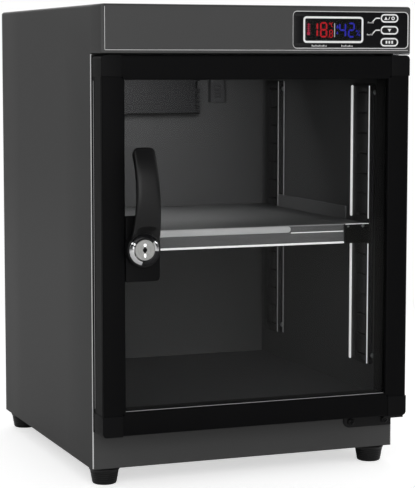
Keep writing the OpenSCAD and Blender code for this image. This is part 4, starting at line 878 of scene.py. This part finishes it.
def upright(name, side, y0, stands_for=()):
    """A hat section with rounded bends, carried up z: foot on the wall, leg, web, leg,
    foot. The cells of its slots are left out, and the sheet is 1 mm thick."""
    y1 = y0 + 38
    wall, web, foot_r, web_r = 140.0, 135.0, 1.2, 1.4
    bend = np.linspace(0, np.pi / 2, 4)
    near, far = 1 - np.cos(bend), 1 - np.sin(bend)
    parts = [
        [(wall, y0 - 7)],
        np.stack([wall - foot_r * near, y0 - foot_r * far], 1),
        np.stack([web + web_r * far, y0 + web_r * near], 1),
        [(web, y0 + 4), (web, y0 + 24), (web, y0 + 31)],
        np.stack([web + web_r * near, y1 - web_r * far], 1),
        np.stack([wall - foot_r * far, y1 + foot_r * near], 1),
        [(wall, y1 + 7)],
    ]
    path = np.concatenate(parts)
    slots = 84.4 + 19.45 * np.arange(14)
    zs = np.unique(np.concatenate([[76.0, 346.0], slots - 1, slots + 1]))
    grid = np.zeros((len(zs), len(path), 3))
    grid[..., 0], grid[..., 1] = side * path[:, 0], path[:, 1]
    grid[..., 2] = zs[:, None]
    mid_z = (zs[1:] + zs[:-1]) / 2
    mid_x, mid_y = (path[1:] + path[:-1]).T / 2
    open_z = np.abs(mid_z[:, None] - slots).min(1) < 1
    open_y = (np.abs(mid_x - web) < 0.01) & (mid_y > y0 + 4) & (mid_y < y0 + 24)
    keep = ~(open_z[:, None] & open_y)
    if side < 0:
        grid, keep = grid[:, ::-1], keep[:, ::-1]
    Shape().grid(grid, keep=keep).piece(name, "upright_paint", upright_coat, sheet=1.0,
                                        stands_for=stands_for, smooth=50)


def upright_highlight_rods():
    """Painted highlights on the uprights' edges: glowing near-white rods at the front
    uprights' bends, broken where the shelf hangs, and faintly glowing grey ones at the other
    bends. A dark strip lies behind each row of slots as painted shade."""
    bright, grey, slot_shade = Shape(), Shape(), Shape()
    for side in (-1, 1):
        for y0 in (23, 241):
            # dark strips behind the slots: painted shade that darkens the slots
            slot_shade.box(sorted((side * 136.4, side * 137.0)), (y0 + 2.5, y0 + 26), (80, 342))
        for z0, z1 in ((76.4, 193.0), (217.0, 344.0)):
            rod(bright, (side * 134.6, 59.8, z0), (side * 134.6, 59.8, z1), 1.35)
            rod(bright, (side * 135.1, 23.8, z0), (side * 135.1, 23.8, z1), 0.55)
        for x, y, r in ((135.3, 241.7, 0.5), (138.9, 234.9, 0.5), (138.9, 62.2, 0.45),
                        (138.9, 280.3, 0.45)):
            rod(grey, (side * x, y, 76.4), (side * x, y, 345.6), r)
    bright.piece("upright_painted_highlights", "zinc_steel", glowing_highlight_paint, smooth=60)
    grey.piece("upright_dim_painted_highlights", "upright_paint", dim_highlight_paint, smooth=60)
    slot_shade.piece("upright_slot_painted_shade", "upright_paint", seal, soften=0.15)


SHELF_X = 133.2


def shelf():
    """The tray: its section, lip, folded front with a channel, top, folded rear and lip,
    is carried along x. Side walls stand on it, and a pale strip lies in the channel."""
    section = np.array([
        (30, 195.6), (23.4, 195.6), (22.4, 196.2), (22.0, 197.0), (22.0, 205.6),
        (22.25, 206.2), (23.2, 206.4), (23.2, 211.7), (23.6, 212.6), (24.4, 212.9),
        (120, 212.9), (200, 212.9), (277.8, 212.9), (278.7, 212.6), (279, 211.7),
        (279, 195.6), (278.2, 194.4), (271, 194.4)])
    grid = np.array([at_x(section, x) for x in np.linspace(-SHELF_X, SHELF_X, 9)])
    Shape().grid(grid).piece("shelf_sheet", "shelf_paint", shelf_coat, sheet=1.2,
                             stands_for=["shelf_tray"], smooth=40)
    walls = Shape()
    for side in (-1, 1):
        x = sorted((side * SHELF_X, side * (SHELF_X - 1.2)))
        walls.box(x, (68, 234), (212.0, 225.9))
    walls.piece("shelf_walls", "shelf_paint", shelf_coat, soften=0.35)
    # rods on the tray's edges in glowing and grey paint: painted highlights
    bright, grey = Shape(), Shape()
    for shape, x0, x1, y, z, radius in (
            (bright, -108, 131.5, 22.3, 195.3, 0.95), (bright, 53.5, 108, 22.1, 206.1, 0.4),
            (bright, 109.5, 134.4, 20.75, 212.7, 0.35), (grey, -132, 132, 23.5, 212.5, 0.5)):
        rod(shape, (x0, y, z), (x1, y, z), radius)
    bright.piece("shelf_painted_highlights", "zinc_steel", glowing_highlight_paint, smooth=60)
    grey.piece("shelf_dim_painted_highlight", "shelf_paint", dim_highlight_paint, smooth=60)
    plate(161, 6.3, (3.1, 0.5, 0.5, 3.1), -27.7, 209.6, 20.5, 23.1, 0.7).piece(
        "shelf_label_strip", "strip_plastic", strip_pale, stands_for=["shelf_edge_strip"],
        smooth=35)


def shelf_corner_brackets():
    """The brackets' faces and cheeks, with two screws in each face."""
    shape, screws = Shape(), Shape()
    for side in (-1, 1):
        plate(26.2, 18.5, 0.8, side * 121.6, 203.65, 20.6, 22.0, 0.4, shape)
        screw_head(screws, side * 128.0, 20.7, 210.6, 1.5, 0.8)
        screw_head(screws, side * 112.5, 20.7, 210.6, 1.1, 0.7)
    eased_copy("shelf_brackets", "bracket_plastic", bracket_black, 0.15)
    shape.piece("shelf_bracket_faces", "bracket_plastic", bracket_black)
    screws.piece("shelf_bracket_screws", "zinc_steel", zinc, smooth=30)


for label, side in (("left", -1), ("right", 1)):
    upright("upright_front_" + label, side, 23, ["uprights_" + label])
    upright("upright_rear_" + label, side, 241)
upright_highlight_rods()
shelf()
shelf_corner_brackets()
coat(zinc, "upright_rivets")


# Hinges


def hinges():
    """The lower bracket with its rounded free corner, its leg and screws, and the upper
    plate in the gap over the door."""
    shape = plate(49.4, 14, (0.5, 0.5, 6, 0.5), 123.7, 27.6, -2, 0, 0.4)
    shape.box((128.4, 148.4), (-27, -1), (32.6, 34.6))
    shape.piece("hinge_bracket_plate", "black_steel", dark_steel,
                stands_for=["hinge_bracket_bottom"], smooth=30)
    screws = Shape()
    for x in (106.0, 141.4):
        screw_head(screws, x, -2, 26.1, 3.5, 2.0)
    screws.piece("hinge_bracket_screws", "black_steel", dark_steel,
                 stands_for=["bracket_screws"], smooth=30)
    Shape().box((133.0, 149.6), (-29.6, -0.3), (373.1, 374.15)).piece(
        "hinge_plate_upper", "zinc_steel", bright_steel, stands_for=["hinge_plate_top"],
        soften=0.2)


hinges()
coat(zinc, "hinge_pins")
coat(nylon, "hinge_bushes")


# Feet


def feet():
    """Each foot is turned about z: a gap under the base, a rim, a taper with five fine
    grooves and a rounded floor edge, hollow below for its screw. On the taper the radius
    is 13.2 less 0.1745 for each millimetre below z = -3.6."""
    profile = [(2.2, 0.0), (12.3, 0.0), (12.3, -1.1), (13.7, -1.2), (14.0, -1.5),
               (14.0, -2.6), (13.5, -3.2), (13.2, -3.6)]
    for z in (-4.6, -6.5, -8.4, -10.3, -12.2):
        radius = 13.2 + 0.1745 * (z + 3.6)
        profile += [(radius, z), (radius - 0.3, z - 0.2), (radius - 0.3, z - 0.5),
                    (radius - 0.12, z - 0.7)]
    profile += [(11.35, -14.2), (10.9, -15.4), (9.9, -16.0), (5.4, -16.0), (4.3, -15.4),
                (4.1, -8.0), (2.2, -8.0), (2.2, 0.0)]
    shape = Shape()
    for x in (-134, 134):
        for y in (16, 288):
            shape.skin(lathe_loops(profile, (x, y), at_z))
    shape.piece("feet", "foot_rubber", rubber, stands_for=["rubber_feet"], smooth=30)


feet()
coat(zinc, "foot_screws")


# Dryer and rear


def half_round(centre, radius):
    """An arc of 13 points about a centre, from below it round its left side to above."""
    a = np.linspace(-np.pi / 2, -3 * np.pi / 2, 13)
    return np.array(centre) + radius * np.stack([np.cos(a), np.sin(a)], 1)


def dryer():
    """The dryer's cover: a front plate whose ends are notched into vents that run on
    down the sides, with a half-round bite above them. Each plate is given its thickness
    along its normal."""
    edge, low, high, bite_z = 58.0, 312, 357, 341.5
    notches = [(314.2 + 5.4 * i, 316.4 + 5.4 * i) for i in range(4)]
    right, outline = [(edge, low)], [(295.9, 312.05), (275.3, 312.05)]
    for z0, z1 in notches:
        right += [(edge, z0), (edge - 5.2, z0), (edge - 5.2, z1), (edge, z1)]
        outline += [(275.3, z0), (292, z0), (292, z1), (275.3, z1)]
    right = np.concatenate([right, half_round((edge, bite_z), 4.6), [(edge, high)]])
    front = np.concatenate([right, right[::-1] * [-1, 1]])
    shape = Shape()
    shape.cap(274, front).cap(275.5, front)
    shape.skin([at_y(front, 274), at_y(front, 275.5)])
    outline += [(275.3, 336.9), (279.5, 336.9), (279.5, 346.1), (275.3, 346.1),
                (275.3, 356.95), (295.9, 356.95)]
    for side in (-1, 1):
        shape.tube([at_x(np.array(outline), side * x) for x in (56.6, 57.95)])
    for z in ((355.45, 356.9), (312.1, 313.5)):
        shape.box((-56.9, 56.9), (275.1, 295.8), z)
    shape.piece("dryer_shell", "liner_paint", dryer_coat, stands_for=["dryer_cover"],
                soften=0.25)
    # dark rods along the cover's edges, vents and bites: painted shade
    shade_lines = Shape()
    rod(shade_lines, (-57.6, 274.6, 311.7), (57.6, 274.6, 311.7), 0.75)
    a = np.linspace(-np.pi / 2, -3 * np.pi / 2, 13)[:, None]
    b = (np.arange(12) * 2 * np.pi / 12)[None, :]
    for side in (-1, 1):
        rod(shade_lines, (side * 57.6, 295.2, 311.7), (side * 57.6, 275.4, 311.7), 0.7)
        for i in range(10):
            x, z = side * 54.6, 316.0 + 2.15 * i
            rod(shade_lines, (x - 1.9, 274.1, z), (x + 1.9, 274.1, z), 0.42, 10)
        reach = 4.9 + 0.6 * np.cos(b)
        shade_lines.tube(np.stack([side * (57.9 + reach * np.cos(a)),
                            274.3 + 0.6 * np.sin(b) + 0 * a,
                            bite_z + reach * np.sin(a)], 2))
    shade_lines.piece("dryer_painted_shade_lines", "seal_rubber", seal, smooth=60)


def rear_louvres():
    """Slanted blades behind the rear cover's slots: a flat section turned 35 degrees,
    carried along x."""
    shape = Shape()
    lean = math.radians(35)
    turn = np.array([[math.cos(lean), math.sin(lean)], [-math.sin(lean), math.cos(lean)]])
    section = np.array([(-0.5, -3.4), (0.5, -3.4), (0.5, 3.4), (-0.5, 3.4)]) @ turn
    for i in range(-3, 4):
        shape.tube([at_x(section + [316.6, 334.5 + 9 * i], x) for x in (-58.0, 58.0)])
    shape.piece("rear_louvres", "cover_plastic", cover_black)


def rear_screws():
    """Pan heads on the rear cover's posts and along the back panel's edges."""
    cover, panel = Shape(), Shape()
    for x in (-62.5, 62.5):
        for z in (298.0, 371.0):
            screw_head(cover, x, 322, z, 3.0, 2.0, side=1)
    places = [(x, z) for x in (-143.0, 143.0) for z in (12, 110, 208, 306, 404)]
    places += [(x, z) for x in (-70.0, 0.0, 70.0) for z in (409.5, 7.0)]
    for x, z in places:
        screw_head(panel, x, BODY_D, z, 2.6, 1.6, side=1)
    cover.piece("cover_screws", "zinc_steel", zinc, stands_for=["vent_cover_screws"],
                smooth=30)
    panel.piece("back_panel_screws", "zinc_steel", zinc, smooth=30)


dryer()
rear_louvres()
eased_copy("rear_vent_cover", "cover_plastic", cover_black, 0.5, segments=3)
rear_screws()
coat(aluminium, "cold_sink", "spacer_block", "hot_sink")
coat(ceramic, "cooling_module")
coat(foam, "foam_frame")
coat(felt, "evaporator_wick")
eased_copy("power_inlet", "bezel_plastic", cover_black)
eased_copy("humidity_sensor", "cover_plastic", sensor_grey, 0.35)
eased_copy("wiring_harness", "lead_sheath", sheath, 0.0, smooth=50)
eased_copy("cable_clips", "cover_plastic", cover_black, 0.2)


# Camera, light and floor

WHITE = (1, 1, 1, 1)


def camera(scene):
    """The camera at the photograph's viewing angle."""
    lens = bpy.data.cameras.new("camera")
    lens.lens, lens.sensor_width, lens.sensor_fit = 132.47, 36.0, "AUTO"
    lens.clip_start, lens.clip_end = 0.05, 60.0
    made = bpy.data.objects.new("camera", lens)
    made.location = (-0.62827, -1.65474, 0.38566)
    made.rotation_euler = Euler([math.radians(v) for v in (84.10, -0.036, -21.18)])
    scene.collection.objects.link(made)
    scene.camera = made


def lamp(scene, name, place, aim, width, watts, height=None):
    """A soft lamp, width by height metres, looking at aim. It isn't seen itself."""
    data = bpy.data.lights.new(name, "AREA")
    data.shape, data.size, data.size_y = "RECTANGLE", width, height or width
    data.energy = watts
    made = bpy.data.objects.new(name, data)
    made.visible_camera = False
    made.location = place
    way = Vector(aim) - Vector(place)
    made.rotation_euler = way.to_track_quat("-Z", "Y").to_euler()
    scene.collection.objects.link(made)


def seen_directly(tree):
    """1 for a ray from the camera or through glass, otherwise 0, and the ray's node."""
    path = add(tree, "LightPath")
    return add(tree, "Math", [(0, path.outputs["Is Camera Ray"]),
                              (1, path.outputs["Is Transmission Ray"])],
               operation="MAXIMUM"), path


def background(scene):
    """White where it is seen, and 0.4 of that as light on the cabinet. A mirror sees a
    sheen that rises from 0.06 to 0.45 as its ray's y rises from -0.5 to 0.6."""
    world = bpy.data.worlds.new("studio")
    scene.world = world
    world.use_nodes = True
    tree = world.node_tree
    tree.nodes.clear()
    out = add(tree, "OutputWorld")
    seen, path = seen_directly(tree)
    where = add(tree, "TexCoord").outputs["Generated"]
    parts = add(tree, "SeparateXYZ", [(0, where)])
    sheen = add(tree, "MapRange", [("Value", parts.outputs[1])], From_Min=-0.5,
                From_Max=0.6, To_Min=0.06, To_Max=0.45)
    mirrored = add(tree, "Mix", [(0, path.outputs["Is Glossy Ray"]), (2, 0.4), (3, sheen)],
                   data_type="FLOAT")
    strength = add(tree, "Mix", [(0, seen), (2, mirrored), (3, 1.0)], data_type="FLOAT")
    sky = add(tree, "Background", [("Strength", strength)], Color=WHITE)
    tree.links.new(sky.outputs[0], out.inputs[0])


def studio_floor(scene):
    """A pale disc of 25 m radius that keeps the cabinet's shadow. Where it is seen it
    fades from its own colour to white between 0.35 and 1.1 m from the middle."""
    made, tree, out, where = fresh("studio_floor")
    reach = add(tree, "VectorMath", [(0, where)], operation="LENGTH")
    far = add(tree, "MapRange", [("Value", reach.outputs["Value"])],
              interpolation_type="SMOOTHSTEP", From_Min=0.35, From_Max=1.1)
    seen, _ = seen_directly(tree)
    white = add(tree, "Emission", Color=WHITE, Strength=1.0)
    pale = add(tree, "BsdfDiffuse", Color=(0.8, 0.8, 0.8, 1))
    lift = add(tree, "Math", [(0, seen), (1, 0.6)], operation="MULTIPLY")
    glow = add(tree, "Emission", [("Strength", lift)], Color=WHITE)
    near = add(tree, "AddShader", [(0, pale), (1, glow)])
    share = add(tree, "Math", [(0, seen), (1, far)], operation="MULTIPLY")
    mixed = add(tree, "MixShader", [(0, share), (1, near), (2, white)])
    tree.links.new(mixed.outputs[0], out)
    mesh = bpy.data.meshes.new("studio_floor")
    mesh.from_pydata(at_z(circle(25, count=96), 0).tolist(), [], [range(96)])
    mesh.materials.append(made)
    floor = bpy.data.objects.new("studio_floor", mesh)
    scene.collection.objects.link(floor)


def stage():
    """The camera, soft lamps, a white background and the floor."""
    scene = bpy.context.scene
    scene.view_settings.view_transform = "Standard"
    camera(scene)
    middle = (0, 0, 0.22)
    lamp(scene, "key_left", (-1.7, -1.5, 1.5), middle, 1.4, 11)
    lamp(scene, "fill_right", (1.9, -1.1, 1.2), middle, 1.2, 7)
    lamp(scene, "front_soft", (-0.2, -2.6, 0.9), (0, 0, 0.2), 1.6, 19)
    lamp(scene, "chamber_soft", (-0.02, -0.02, 0.366), (-0.11, 0.17, 0.22), 0.1, 0.3, 0.05)
    lamp(scene, "back_soft", (0.4, 2.3, 1.6), (0, 0, 0.25), 1.6, 20)
    background(scene)
    studio_floor(scene)


stage()
